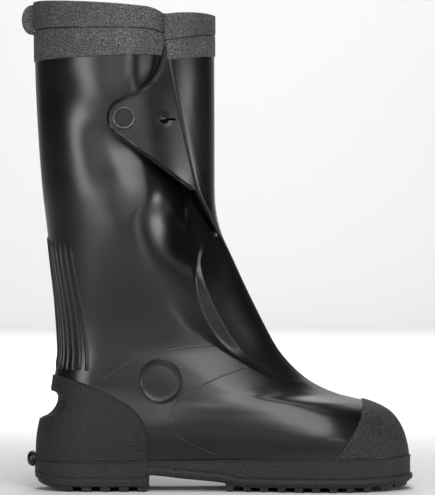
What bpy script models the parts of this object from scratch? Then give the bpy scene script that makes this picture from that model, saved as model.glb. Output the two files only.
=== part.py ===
"""A tall moulded PVC overshoe for the right foot, standing on its cleated sole.

The shaft is a wide tube whose front is gathered into one deep fold. The fold stands forward as a keel
over the instep, rolls over to the outer side higher up, and is held there by a flap with a button. A
heavier sole with a rim, cleats and a heel block closes the foot from below.

The toe points to +X, the outer side to -Y, and the floor is z = 0. The origin is under the middle of
the shoe. Tables and sizes are in millimetres, and the meshes are made in metres.
"""

import math
from collections import namedtuple

import bmesh
import bpy
import numpy as np

MM = 0.001

# Clearance between pieces that touch on the real overshoe
GAP = 0.3
EDGE_GAP = 0.5

# Wall and overlay thicknesses
WALL = 1.9
CAP_THICKNESS = 1.0
COUNTER_THICKNESS = 1.4
BAND_THICKNESS = 0.7
SEAM_HEIGHT = 0.5
SEAM_WIDTH = 1.4
DISC_THICKNESS = 1.1
FLAP_THICKNESS = 2.0
FLAP_LIFT = 0.8
FLAP_CLEAR = 0.35

# One row for each section of the upper, from its lower edge to its collar. A section runs from a point on
# the back line to a point on the front line. heel, waist and ball are its half-widths, back_round and
# front_round the lengths over which its ends round off, and swing how far its toe end curves inwards.
Section = namedtuple(
    "Section", "name back_x back_z front_x front_z heel waist ball back_round front_round swing"
)
SECTIONS = [
    Section("edge", -159.5, 22.3, 168.3, 16.0, 37.5, 36.5, 54.0, 40, 62, 7),
    Section("rim", -160.0, 26.0, 169.4, 30.0, 38.5, 38.0, 55.0, 40, 62, 7),
    Section("side", -159.6, 42.0, 166.2, 47.0, 39.0, 41.0, 54.5, 41, 62, 7),
    Section("ledge", -157.0, 60.0, 155.5, 66.0, 38.5, 42.5, 51.5, 42, 66, 7),
    Section("scoop", -151.5, 76.0, 136.5, 76.8, 37.5, 43.5, 47.0, 43, 80, 6),
    Section("lip", -146.5, 90.0, 108.0, 84.2, 37.0, 43.5, 42.0, 45, 92, 4),
    Section("topline", -144.3, 104.0, 84.0, 95.0, 38.0, 43.5, 41.0, 48, 98, 2),
    Section("ankle", -141.4, 123.0, 56.5, 120.5, 41.0, 44.0, 43.0, 56, 100, 0),
    Section("instep", -143.7, 162.0, 34.5, 160.0, 47.0, 48.0, 47.5, 68, 96, 0),
    Section("calf_low", -148.2, 202.0, 14.8, 202.0, 51.5, 52.0, 52.0, 76, 84, 0),
    Section("calf", -152.0, 236.0, 0.8, 236.0, 54.5, 55.0, 55.0, 76, 76, 0),
    Section("flap_tip", -155.4, 264.0, -2.4, 264.0, 57.0, 57.0, 57.0, 76, 76, 0),
    Section("button", -160.0, 325.0, -2.6, 325.0, 60.0, 60.0, 60.0, 78, 78, 0),
    Section("band", -162.2, 378.5, -2.8, 383.5, 61.5, 61.5, 61.5, 79, 79, 0),
    Section("collar", -162.8, 431.5, -2.9, 419.5, 62.0, 62.0, 62.0, 79, 79, 0),
]
LEVEL = {row.name: index for index, row in enumerate(SECTIONS)}

# Where along a section its half-widths change over, as shares of its length, and the cut of the waist
WAIST_START = 0.15
WAIST_RUN = 0.35
BALL_START = 0.5
BALL_RUN = 0.3
SWING_LENGTH = 168.0
WAIST_CUT = 6.0
OUTER_WAIST_SHARE = 0.3
WAIST_X = -25.0
WAIST_SPREAD = 48.0

# One row for each stage of the front fold. share is how far it is formed. ridge and valley are the angles of
# its outer and inner turns from the front, in degrees towards the outer side, and depth and radius place the
# inner turn. The outer wall goes down to that depth between the angles dip_start and dip_end.
Fold = namedtuple("Fold", "name share ridge valley depth radius dip_start dip_end")
FOLDS = [
    Fold("topline", 0.0, 0.0, 33.0, 1.0, 3.0, 44.0, 33.0),
    Fold("ankle", 1.0, 0.0, 46.0, 1.0, 3.0, 58.0, 46.5),
    Fold("instep", 1.0, 0.0, 52.0, 1.0, 4.0, 70.0, 53.0),
    Fold("calf_low", 1.0, 2.0, 44.0, 1.5, 6.5, 78.0, 46.0),
    Fold("calf", 1.0, 13.0, 3.0, 12.0, 1.0, 86.0, 42.0),
    Fold("flap_tip", 1.0, 34.0, 20.0, 11.0, 1.0, 88.0, 38.0),
    Fold("button", 1.0, 49.0, 17.0, 6.2, 0.6, 91.0, 52.0),
    Fold("band", 1.0, 58.0, 24.0, 6.2, 0.6, 99.0, 61.0),
    Fold("collar", 1.0, 60.0, 26.0, 6.2, 0.6, 101.0, 63.0),
]
RIDGE_RADIUS = 2.8
FULL_OVERLAP = 12.0

# Below the flap the fold opens into a keel. Its side leans past a straight line by KEEL_LEAN degrees at the
# outer turn, and KEEL_PULL says how softly it leaves the wall, as a share of its length.
KEEL_LEAN = 26.0
KEEL_PULL = 0.36

# How far the collar settles where it goes over the fold, and how far behind and ahead of it that reaches
SETTLE = 5.6
SETTLE_BACK = 17.0
SETTLE_FRONT = 44.0
SETTLE_LEVELS = 1.6

# The scoop over the heel ledge, which another toe pushes down on
SCOOP_Z = 75.5
SCOOP_HALF_HEIGHT = 13.0
SCOOP_HALF_WIDTH = 31.0
SCOOP_DEPTH = 10.6

# Side view edges of the overlays, as height against length
Edge = namedtuple("Edge", "z x")
TOE_CAP_EDGE = [
    Edge(25.0, 96.0),
    Edge(37.5, 109.0),
    Edge(51.0, 117.6),
    Edge(61.0, 123.5),
    Edge(71.0, 127.0),
    Edge(78.2, 128.5),
]
COUNTER_EDGE = [
    Edge(26.0, -60.0),
    Edge(46.6, -60.5),
    Edge(59.0, -64.0),
    Edge(73.0, -74.5),
    Edge(85.0, -94.0),
    Edge(94.5, -116.5),
    Edge(101.5, -138.0),
]
COUNTER_RISE = 1.5
TOE_CLEAR_X = 190.0
TOE_CLEAR_Z = 100.0
HEEL_CLEAR_X = -190.0
PRISM_REACH = 90.0
CUT_REACH = 10.0
FLAP_EDGE = [
    Edge(264.5, -23.0),
    Edge(275.0, -38.0),
    Edge(290.0, -58.5),
    Edge(299.0, -71.0),
    Edge(307.5, -82.5),
    Edge(315.0, -91.5),
    Edge(321.0, -95.6),
    Edge(326.6, -96.8),
    Edge(332.0, -95.8),
    Edge(339.0, -91.5),
    Edge(344.0, -84.0),
    Edge(350.5, -68.0),
    Edge(359.5, -57.0),
    Edge(372.5, -49.5),
    Edge(389.0, -45.6),
]

# Raised style lines, as side view points
Point = namedtuple("Point", "x z")
ANKLE_SEAM = [Point(-101, 97.7), Point(-81, 111.5), Point(-52, 122), Point(-24, 127), Point(2, 128.5)]
VAMP_SEAM = [
    Point(27, 110),
    Point(3, 101.5),
    Point(-13.5, 93.6),
    Point(-30, 84),
    Point(-39.5, 73),
    Point(-41, 63),
    Point(-35.5, 51),
    Point(-22, 42),
    Point(-2, 33),
]

# Ankle disc and button, placed in the side view
DISC = Point(-50.2, 96.8)
DISC_RADIUS = 19.5
BUTTON = Point(-81.2, 326.6)
BUTTON_RADIUS = 9.5
BUTTON_EDGE = 1.2
BUTTON_HEIGHT = 3.4
STEM_RADIUS = 3.6
KEYHOLE = Point(-46.7, 325.9)
KEYHOLE_RADIUS = 3.4
SLIT_END_X = -36.5
SLIT_WIDTH = 2.0

# Upright ribs round the back of the ankle
RIB_COUNT = 15
RIB_PITCH_DEG = 6.0
RIB_WIDTH = 3.4
RIB_HEIGHT = 1.0
RIB_LIFT = 0.3
RIB_CREST_SHARE = 0.55
RIB_STATIONS = 5
RIB_TOP_Z = 224.0
RIB_BOTTOM_Z = 109.0
RIB_DROP_PER_DEG = 0.18

# Heel knob and the pull tab at the back of the collar
KNOB_Z = 26.8
KNOB_RADIUS = 7.0
KNOB_REACH = 6.4
KNOB_BASE_X = -162.7
KNOB_ARC_DEG = (0, 25, 50, 72)
TAB_THICKNESS = 3.0
TAB_REACH_X = -174.0
TAB_TOP_Z = 430.5

# Outline of the pull tab, as a share of its reach and as a distance down from its top
TabRow = namedtuple("TabRow", "out down")
TAB_OUTLINE = [
    TabRow(0.0, 0.0),
    TabRow(0.42, 3.4),
    TabRow(0.8, 7.6),
    TabRow(1.0, 12.8),
    TabRow(0.97, 17.2),
    TabRow(0.72, 21.4),
    TabRow(0.3, 24.8),
    TabRow(0.0, 27.0),
]

# Sole side, as distances outwards from the upper and upwards from the bottom face
FOXING = 2.0
WELT_SIDE = 1.4
WELT_TOE = 0.7
WELT_START = 60.0
TOE_WELT_X = 140.0
TOE_WELT_RUN = 26.0
WELT_LOW = 3.4
WELT_MIDDLE = 6.5
WELT_HIGH = 7.5
TREAD_INSET = 1.2
HEEL_BREAST_X = -61.0
BREAST_RUN = 2.5

# Heights along the sole: the underside between the cleats, the ends of the cleats and the floor inside
SoleRow = namedtuple("SoleRow", "x under cleat floor")
SOLE_ROWS = [
    SoleRow(-164.0, 12.0, 9.0, 22.0),
    SoleRow(-150.0, 8.0, 4.4, 22.0),
    SoleRow(-134.0, 5.2, 1.2, 22.0),
    SoleRow(-122.0, 4.6, 0.0, 22.0),
    SoleRow(HEEL_BREAST_X - BREAST_RUN, 4.6, 0.0, 20.8),
    SoleRow(HEEL_BREAST_X, 14.6, 0.0, 20.6),
    SoleRow(-30.0, 11.6, 0.0, 18.0),
    SoleRow(5.0, 8.0, 1.4, 14.6),
    SoleRow(22.0, 4.6, 0.6, 13.2),
    SoleRow(40.0, 4.3, 0.0, 12.5),
    SoleRow(108.0, 4.3, 0.0, 12.5),
    SoleRow(150.0, 5.8, 2.0, 14.0),
    SoleRow(175.0, 7.4, 4.4, 16.5),
]

# Cleats: rows of two blocks, a heel block and a toe block
Cleats = namedtuple("Cleats", "first_x pitch count foot_length root_length")
FOREFOOT_CLEATS = Cleats(10.7, 15.05, 10, 6.2, 8.6)
HEEL_CLEATS = Cleats(-114.8, 16.4, 4, 8.0, 10.4)
HEEL_BLOCK_END_X = -127.0
TOE_BLOCK_START_X = 156.0
CLEAT_ROOT = 1.2
CLEAT_SPLIT = 6.0
CLEAT_INSET = 1.0
CLEAT_DRAFT = 0.6
END_BLOCK_POINTS = 13

# Mesh density, and the small steps that slopes are taken over
ANGLE_STEP = 0.4
LEVEL_STEP = 0.02
LEVEL_HALVINGS = 40
BACK_LINE_STATIONS = 60
Counts = namedtuple("Counts", "near dip valley middle ridge far")
FAR_SPREAD = 1.15
COUNTS = Counts(near=8, dip=8, valley=3, middle=2, ridge=4, far=16)
FOOT_LEVELS = [1, 1.7, 2.4, 3, 3.2, 3.45, 3.8, 4.15, 4.5, 4.75, 5, 5.5, 6, 6.5, 7, 7.5, 8]
SHAFT_LEVELS = [8.5, 9, 9.5, 10, 10.33, 10.67, 11, 11.5, 12, 12.5, 13, 13.5, 14]
CAP_EDGE_POINTS = 8
COUNTER_EDGE_POINTS = 10
FLAP_COLUMNS = 7
BAND_DIP_COLUMNS = 4
HOLE_SEGMENTS = 12
DISC_SEGMENTS = 24
TURNED_SEGMENTS = 18
CRISP_DEG = 35.0

Paint = namedtuple("Paint", "name colour roughness")
SMOOTH_PVC = Paint("smooth_pvc", (0.012, 0.012, 0.013), 0.32)
GRAINED_PVC = Paint("grained_pvc", (0.026, 0.027, 0.027), 0.6)


def ease(value):
    """Rises smoothly from 0 to 1 as value goes from 0 to 1."""
    part = np.clip(value, 0.0, 1.0)
    return part * part * (3.0 - 2.0 * part)


def smooth_table(stations, values, where):
    """A curve through a table that rises and falls only where the table does."""
    stations = np.asarray(stations, float)
    values = np.asarray(values, float)
    where = np.clip(np.asarray(where, float), stations[0], stations[-1])
    step = np.diff(stations)
    slope = np.diff(values) / step
    turn = slope[:-1] * slope[1:]
    level = np.where(turn > 0, 2.0 * turn / np.where(turn > 0, slope[:-1] + slope[1:], 1.0), 0.0)
    tangent = np.concatenate([slope[:1], level, slope[-1:]])
    index = np.clip(np.searchsorted(stations, where, side="right") - 1, 0, len(step) - 1)
    width = step[index]
    part = (where - stations[index]) / width
    start, end = values[index], values[index + 1]
    rise, fall = tangent[index] * width, tangent[index + 1] * width
    bend = 2.0 * (start - end) + rise + fall
    return start + part * (rise + part * (3.0 * (end - start) - 2.0 * rise - fall + part * bend))


def along(rows, by, column, where):
    """One named column of a table of rows, read at where along the column named by."""
    return smooth_table([getattr(r, by) for r in rows], [getattr(r, column) for r in rows], where)


def section(level):
    """The section at any level, between the rows of the table."""
    rows = range(len(SECTIONS))
    columns = [smooth_table(rows, [r[c] for r in SECTIONS], level) for c in range(1, len(Section._fields))]
    return Section("between", *columns)


def fold_at(level):
    """The front fold at any level, between the rows of the table."""
    rows = [LEVEL[f.name] for f in FOLDS]
    columns = [smooth_table(rows, [f[c] for f in FOLDS], level) for c in range(1, len(Fold._fields))]
    return Fold("between", *columns)


def half_width(s, x, outer_side):
    """Half-width of a section at x, on the outer or the inner side of the foot."""
    part = (x - s.back_x) / (s.front_x - s.back_x)
    width = s.heel + (s.waist - s.heel) * ease((part - WAIST_START) / WAIST_RUN)
    width = width + (s.ball - s.waist) * ease((part - BALL_START) / BALL_RUN)
    waist = WAIST_CUT * s.swing / SECTIONS[0].swing * np.exp(-(((x - WAIST_X) / WAIST_SPREAD) ** 2))
    width = width - np.where(outer_side, OUTER_WAIST_SHARE, 1.0) * waist
    back = np.clip((x - s.back_x) / s.back_round, 0.0, 1.0)
    front = np.clip((s.front_x - x) / s.front_round, 0.0, 1.0)
    return width * np.sqrt((1.0 - (1.0 - back) ** 2) * (1.0 - (1.0 - front) ** 2))


def plan(level, angle):
    """Plan of the unfolded wall at a level.

    The angle is 0 at the front, 90 on the outer side and 180 at the back.
    """
    s = section(level)
    turn = np.radians(angle)
    x = (s.front_x + s.back_x) / 2.0 + (s.front_x - s.back_x) / 2.0 * np.cos(turn)
    outer_side = np.sin(turn) >= 0.0
    y = s.swing * ease(x / SWING_LENGTH)
    y = y - np.where(outer_side, 1.0, -1.0) * half_width(s, x, outer_side)
    return np.stack([x, y], axis=-1)


def tangent(level, angle):
    """Direction of the plan curve, walking from the back past the outer side to the front."""
    run = plan(level, angle - ANGLE_STEP) - plan(level, angle + ANGLE_STEP)
    return run / np.linalg.norm(run, axis=-1, keepdims=True)


def per_degree(level, angle):
    """Length of the plan curve in one degree."""
    return np.linalg.norm(plan(level, angle + 0.5) - plan(level, angle - 0.5), axis=-1)


def right_of(direction):
    """The direction a quarter turn to the right, which points out of the shoe."""
    return np.stack([direction[..., 1], -direction[..., 0]], axis=-1)


def dip_share(level, angle):
    """How far the outer wall has dipped under the fold at an angle, from 0 to 1."""
    f = fold_at(level)
    return ease((f.dip_start - angle) / (f.dip_start - f.dip_end)) * f.share


def ring_height(level, x):
    """Height of a ring over x. The lowest ring follows the floor inside the sole."""
    s = section(level)
    straight = s.back_z + (s.front_z - s.back_z) * (x - s.back_x) / (s.front_x - s.back_x)
    edge = along(SOLE_ROWS, "x", "floor", x) + EDGE_GAP
    share = np.clip(level, 0.0, 1.0)
    return edge + (straight - edge) * share - settled(level, x)


def settled(level, x):
    """Drop of the collar at x, which is deepest at the outer turn of the fold."""
    from_fold = x - plan(level, fold_at(level).ridge)[..., 0] + RIDGE_RADIUS
    away = np.where(from_fold < 0.0, -from_fold / SETTLE_BACK, from_fold / SETTLE_FRONT)
    top = len(SECTIONS) - 1.0
    return SETTLE * ease((level - top + SETTLE_LEVELS) / SETTLE_LEVELS) * np.clip(1.0 - away, 0.0, 1.0) ** 2


def scooped(points):
    """Points of the wall with the scoop over the heel ledge pressed in."""
    high = ((points[..., 2] - SCOOP_Z) / SCOOP_HALF_HEIGHT) ** 2
    wide = (points[..., 1] / SCOOP_HALF_WIDTH) ** 4
    depth = SCOOP_DEPTH * np.sqrt(np.clip(1.0 - high - wide, 0.0, 1.0))
    moved = points.copy()
    moved[..., 0] += np.where(points[..., 0] < HEEL_BREAST_X, depth, 0.0)
    return moved


def raised(level, flat):
    """Plan points lifted to the height of their ring."""
    return scooped(np.concatenate([flat, ring_height(level, flat[..., :1])], axis=-1))


def wall_flat(level, angle):
    """Plan of the wall at an angle. On the outer side it dips under the fold."""
    level, angle = np.broadcast_arrays(np.asarray(level, float), np.asarray(angle, float))
    f = fold_at(level)
    drop = np.where(angle > 0.0, (f.depth + f.radius) * dip_share(level, angle), 0.0)
    return plan(level, angle) - right_of(tangent(level, angle)) * drop[..., None]


def wall(level, angle, lift=0.0, flat=wall_flat):
    """Points on the outside of the upper, or lift away from it.

    The flat function gives the plan of another layer.
    """
    level, angle = np.broadcast_arrays(np.asarray(level, float), np.asarray(angle, float))

    def at(shift_level, shift_angle):
        raised_at = level + shift_level
        xy = flat(raised_at, angle + shift_angle)
        z = np.vectorize(ring_height)(raised_at, xy[..., 0])
        return scooped(np.concatenate([xy, z[..., None]], axis=-1))

    across = at(0.0, -ANGLE_STEP) - at(0.0, ANGLE_STEP)
    upward = at(LEVEL_STEP, 0.0) - at(-LEVEL_STEP, 0.0)
    out = np.cross(across, upward)
    return at(0.0, 0.0) + lift * out / np.linalg.norm(out, axis=-1, keepdims=True)


def flap_layer(level, angle):
    """Plan of the flap's inner face, from the outer turn of the fold back over the outer wall."""
    drop = (RIDGE_RADIUS + FLAP_THICKNESS / 2.0) * dip_share(level, angle)
    lift = FLAP_LIFT - drop
    return plan(level, angle) + right_of(tangent(level, angle)) * lift[..., None]


def side_place(x, z):
    """Level and angle of the outer wall at a point of the side view."""
    low, high = 0.0, len(SECTIONS) - 1.0
    for _ in range(LEVEL_HALVINGS):
        level = (low + high) / 2.0
        if ring_height(level, x) < z:
            low = level
        else:
            high = level
    s = section(level)
    cosine = (2.0 * x - s.front_x - s.back_x) / (s.front_x - s.back_x)
    return level, math.degrees(math.acos(min(1.0, max(-1.0, float(cosine)))))


def turned(direction, radians):
    """A plan direction turned to the left by an angle."""
    c, s = np.cos(radians), np.sin(radians)
    x, y = direction
    return np.stack([c * x - s * y, s * x + c * y], axis=-1)


def keel_side(start, way_in, end, way_out, count):
    """Plan points of a keel's side, which leaves the wall along way_in and ends along way_out."""
    pull = KEEL_PULL * np.linalg.norm(end - start)
    t = np.linspace(0.0, 1.0, count + 2)[1:-1, None]
    near, far = start + way_in * pull, end - way_out * pull
    return (1 - t) ** 3 * start + 3 * t * (1 - t) ** 2 * near + 3 * t**2 * (1 - t) * far + t**3 * end


def fold_turns(level, counts):
    """Plan points of the fold between the outer wall and the outer layer.

    They go round the inner turn, along the middle layer and round the outer turn.
    """
    f = fold_at(level)
    way_in, way_out = tangent(level, f.valley), tangent(level, f.ridge)
    inner = plan(level, f.valley) - f.depth * right_of(way_in)
    outer = plan(level, f.ridge) - RIDGE_RADIUS * right_of(way_out)
    reach = outer - inner
    cross = math.asin(min(1.0, (RIDGE_RADIUS + f.radius) / np.linalg.norm(reach)))
    straight = turned(reach / np.linalg.norm(reach), -cross)
    overlap = float(ease((f.ridge - f.valley) / FULL_OVERLAP))
    heading = turned(straight, math.radians(KEEL_LEAN) * (1.0 - overlap))

    def turn_between(a, b):
        return math.atan2(a[0] * b[1] - a[1] * b[0], float(np.dot(a, b)))

    right_turn = turn_between(way_in, straight)
    if right_turn > 0.0:
        right_turn = right_turn - 2.0 * math.pi if right_turn > math.pi / 2.0 else 0.0
    right_turn += (-math.pi - right_turn) * overlap
    left_turn = turn_between(heading, way_out) % (2.0 * math.pi)
    left_turn += (math.pi - left_turn) * overlap
    steps_in = np.linspace(0.0, right_turn, counts.valley + 1)[1:]
    steps_out = np.linspace(left_turn, 0.0, counts.ridge + 1)[:-1]
    turn_in = inner - f.radius * right_of(turned(way_in, steps_in))
    turn_out = outer + RIDGE_RADIUS * right_of(turned(way_out, -steps_out))

    share = np.linspace(0.0, 1.0, counts.middle + 2)[1:-1]
    angle = f.valley + (f.ridge - f.valley) * share
    depth = (f.depth - f.radius) + (2.0 * RIDGE_RADIUS - f.depth + f.radius) * share
    middle = plan(level, angle) - right_of(tangent(level, angle)) * depth[:, None]
    pleat = np.concatenate([turn_in, middle])
    keel = keel_side(inner - f.radius * right_of(way_in), way_in, turn_out[0], heading, len(pleat))
    folded = np.concatenate([keel + (pleat - keel) * overlap, turn_out])
    angles = np.linspace(f.valley, f.ridge, len(folded) + 2)[1:-1]
    plain = plan(level, angles)
    return plain + (folded - plain) * f.share


def ring(level, counts):
    """One closed ring of the outside of the upper: outer wall, fold, then the outer layer to the back."""
    f = fold_at(level)
    near = np.linspace(180.0, f.dip_start, counts.near, endpoint=False)
    under = np.linspace(f.dip_start, f.valley, counts.dip)
    far = f.ridge - (f.ridge + 180.0) * np.linspace(0.0, 1.0, counts.far + 1)[:-1] ** FAR_SPREAD
    outside = wall_flat(level, np.concatenate([near, under]))
    flat = np.concatenate([outside, fold_turns(level, counts), plan(level, far)])
    return raised(level, flat)


def units(steps):
    """Directions of steps, leaving steps of no length alone."""
    size = np.linalg.norm(steps, axis=-1, keepdims=True)
    return steps / np.where(size > 1e-9, size, 1.0)


def normals(grid):
    """Outward directions on a stack of closed rings."""
    around = units(np.roll(grid, -1, axis=1) - grid) + units(grid - np.roll(grid, 1, axis=1))
    rise = units(np.diff(grid, axis=0))
    upward = np.concatenate([rise[:1], rise[1:] + rise[:-1], rise[-1:]])
    return units(np.cross(around, upward))


def new_object(name, bm, collection, paint):
    """An object with its own material from a bmesh in millimetres."""
    bmesh.ops.scale(bm, vec=(MM, MM, MM), verts=bm.verts)
    bmesh.ops.recalc_face_normals(bm, faces=bm.faces)
    mesh = bpy.data.meshes.new(name)
    bm.to_mesh(mesh)
    bm.free()
    obj = bpy.data.objects.new(name, mesh)
    collection.objects.link(obj)
    finish(obj, paint)
    return obj


def finish(obj, paint):
    """Gives an object its own material, and a mesh smooth shading with crisp edges."""
    material = bpy.data.materials.new(f"{obj.name}_{paint.name}")
    material.use_nodes = True
    shader = material.node_tree.nodes["Principled BSDF"]
    shader.inputs["Base Color"].default_value = (*paint.colour, 1.0)
    shader.inputs["Roughness"].default_value = paint.roughness
    shader.inputs["Metallic"].default_value = 0.0
    obj.data.materials.append(material)
    if obj.type == "MESH":
        obj.data.shade_smooth()
        obj.data.set_sharp_from_angle(angle=math.radians(CRISP_DEG))


def boolean(obj, operand, operation):
    """Joins an object with another, cuts it away or keeps what they share."""
    step = obj.modifiers.new(operand.name, "BOOLEAN")
    step.solver = "EXACT"
    step.operation = operation
    step.object = operand


def helper(obj):
    """Marks a form that only shapes other pieces."""
    obj.hide_render = True
    obj.display_type = "WIRE"
    return obj


def add_grid(bm, grid, closed=False):
    """Triangles over a grid of points. Returns the vertices in the same rows and columns."""
    rows = [[bm.verts.new(point) for point in line] for line in grid]
    columns = len(rows[0])
    for low, high in zip(rows, rows[1:]):
        for c in range(columns if closed else columns - 1):
            n = (c + 1) % columns
            bm.faces.new((low[c], low[n], high[n]))
            bm.faces.new((low[c], high[n], high[c]))
    return rows


def join_loops(bm, first, second):
    """Faces between two closed loops of the same number of vertices."""
    for i, vert in enumerate(first):
        n = (i + 1) % len(first)
        bm.faces.new((vert, first[n], second[n], second[i]))


def border(rows):
    """The vertices round the edge of a grid, in order."""
    left, right = [r[0] for r in rows], [r[-1] for r in rows]
    return rows[0][:-1] + right[:-1] + rows[-1][:0:-1] + left[:0:-1]


def sheet(name, collection, paint, inner, outer):
    """A closed piece between an inner and an outer grid of the same size."""
    bm = bmesh.new()
    inside, outside = add_grid(bm, inner), add_grid(bm, outer)
    join_loops(bm, border(inside), border(outside))
    return new_object(name, bm, collection, paint)


def loft(bm, rows):
    """A closed body through a stack of outlines, with flat ends."""
    verts = add_grid(bm, rows, closed=True)
    bm.faces.new(verts[0])
    bm.faces.new(verts[-1])


class Skin:
    """The outside of the upper as rings of points, with its outward directions."""

    def __init__(self):
        """Works out every ring once, so that each piece on the upper follows the same faces."""
        self.levels = [0, *FOOT_LEVELS, *SHAFT_LEVELS]
        self.points = np.stack([ring(level, COUNTS) for level in self.levels])
        self.out = normals(self.points)

    def lifted(self, lift):
        """The rings moved outwards."""
        return self.points + lift * self.out

    def row(self, level):
        """Index of a level's ring."""
        return self.levels.index(level)

    def form(self, name, lift, collection):
        """A solid block with the outside of the foot, moved outwards, to cut overlays from."""
        first, last = self.row(FOOT_LEVELS[0]), self.row(FOOT_LEVELS[-1])
        bm = bmesh.new()
        loft(bm, self.lifted(lift)[first : last + 1])
        return helper(new_object(name, bm, collection, SMOOTH_PVC))


def build_upper(skin, collection):
    """The hollow upper, open at the collar and underneath."""
    bm = bmesh.new()
    outside = add_grid(bm, skin.points, closed=True)
    inside = add_grid(bm, skin.lifted(-WALL), closed=True)
    for end in (0, -1):
        join_loops(bm, outside[end], inside[end])
    new_object("upper", bm, collection, SMOOTH_PVC)


def side_prism(name, outline, collection, paint, start_y=-PRISM_REACH, end_y=PRISM_REACH):
    """A block with a side view outline, running across the shoe."""
    bm = bmesh.new()
    loft(bm, [[(x, y, z) for x, z in outline] for y in (start_y, end_y)])
    return new_object(name, bm, collection, paint)


def on_foot(obj, skin, thickness, cutters, lift=GAP):
    """Cuts a block to a piece of even thickness that lies on the foot."""
    boolean(obj, skin.form(f"{obj.name}_outside", lift + thickness, cutters), "INTERSECT")
    boolean(obj, skin.form(f"{obj.name}_inside", lift, cutters), "DIFFERENCE")


def smooth_edge(edge, count):
    """Points along a side view edge, from its lowest height to its highest."""
    heights = np.linspace(edge[0].z, edge[-1].z, count)
    return [(float(along(edge, "z", "x", z)), float(z)) for z in heights]


def build_toe_cap(skin, collection, cutters):
    """The grained cap over the toe."""
    edge = smooth_edge(TOE_CAP_EDGE, CAP_EDGE_POINTS)
    top = [(edge[-1][0], TOE_CLEAR_Z), (TOE_CLEAR_X, TOE_CLEAR_Z), (TOE_CLEAR_X, rim_clear(TOE_CLEAR_X))]
    outline = [(x, max(z, rim_clear(x))) for x, z in edge] + top
    cap = side_prism("toe_cap", outline, collection, GRAINED_PVC)
    on_foot(cap, skin, CAP_THICKNESS, cutters)


def rim_clear(x):
    """Height just above the rim of the sole at x."""
    return float(ring_height(LEVEL["rim"], x)) + 2.0 * GAP


def build_heel_counter(skin, collection, cutters):
    """The grained counter round the heel, with the ledge and the scoop of the wall."""
    edge = smooth_edge(COUNTER_EDGE, COUNTER_EDGE_POINTS)
    back = [(HEEL_CLEAR_X, COUNTER_EDGE[-1].z + COUNTER_RISE), (HEEL_CLEAR_X, rim_clear(HEEL_CLEAR_X))]
    outline = [(x, max(z, rim_clear(x))) for x, z in edge] + back
    counter = side_prism("heel_counter", outline, collection, GRAINED_PVC)
    on_foot(counter, skin, COUNTER_THICKNESS, cutters)


def build_collar_band(skin, collection):
    """The grained band round the collar, from the fold's outer turn round the back to where the wall dips."""
    low, high = skin.row(LEVEL["band"]), skin.row(LEVEL["collar"])
    count = skin.points.shape[1]
    columns = [c % count for c in range(count - COUNTS.far, count + COUNTS.near + BAND_DIP_COLUMNS)]
    layers = [skin.lifted(lift)[low : high + 1][:, columns] for lift in (GAP, GAP + BAND_THICKNESS)]
    sheet("collar_band", collection, GRAINED_PVC, *layers)


def build_flap(collection, cutters):
    """The closing flap, with its button hole and a spare keyhole."""
    levels = np.array([side_place(e.x, e.z)[0] for e in FLAP_EDGE])
    left = np.array([side_place(e.x, e.z)[1] for e in FLAP_EDGE])
    ridge = fold_at(levels).ridge
    right = ridge + (RIDGE_RADIUS + FLAP_CLEAR) / per_degree(levels, ridge)
    share = np.linspace(0.0, 1.0, FLAP_COLUMNS)[None, :]
    angles = right[:, None] + (left - right)[:, None] * share
    rows = np.broadcast_to(levels[:, None], angles.shape)
    layers = [wall(rows, angles, lift, flap_layer) for lift in (0.0, FLAP_THICKNESS)]
    flap = sheet("closing_flap", collection, SMOOTH_PVC, *layers)
    slit = Point((KEYHOLE.x + SLIT_END_X) / 2.0, KEYHOLE.z)
    boolean(flap, side_cylinder("button_hole", BUTTON, STEM_RADIUS + GAP, cutters), "DIFFERENCE")
    boolean(flap, side_cylinder("keyhole", KEYHOLE, KEYHOLE_RADIUS, cutters), "DIFFERENCE")
    boolean(flap, side_box("keyhole_slit", slit, SLIT_END_X - KEYHOLE.x, SLIT_WIDTH, cutters), "DIFFERENCE")


def outer_y(place):
    """Across position of the outer wall at a point of the side view."""
    return float(wall(*side_place(place.x, place.z))[1])


def side_cylinder(name, place, radius, collection):
    """A cylinder across the shoe through a point of the side view."""
    turn = np.radians(np.arange(HOLE_SEGMENTS) * 360.0 / HOLE_SEGMENTS)
    outline = list(zip(place.x + radius * np.cos(turn), place.z + radius * np.sin(turn)))
    middle = outer_y(place)
    return helper(side_prism(name, outline, collection, SMOOTH_PVC, middle - CUT_REACH, middle + CUT_REACH))


def side_box(name, place, length, height, collection):
    """A box across the shoe, centred on a point of the side view."""
    x0, x1 = place.x - length / 2.0, place.x + length / 2.0
    z0, z1 = place.z - height / 2.0, place.z + height / 2.0
    outline = [(x0, z0), (x1, z0), (x1, z1), (x0, z1)]
    middle = outer_y(place)
    return helper(side_prism(name, outline, collection, SMOOTH_PVC, middle - CUT_REACH, middle + CUT_REACH))


def lathe(name, collection, paint, profile, segments):
    """A turned solid. The profile holds radius and height, from the axis round to the axis."""
    bm = bmesh.new()
    verts = [bm.verts.new((radius, 0.0, height)) for radius, height in profile]
    edges = [bm.edges.new(pair) for pair in zip(verts, verts[1:])]
    whole_turn = {"axis": (0, 0, 1), "cent": (0, 0, 0), "angle": 2.0 * math.pi}
    bmesh.ops.spin(bm, geom=verts + edges, steps=segments, **whole_turn)
    bmesh.ops.remove_doubles(bm, verts=bm.verts, dist=0.001)
    return new_object(name, bm, collection, paint)


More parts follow.
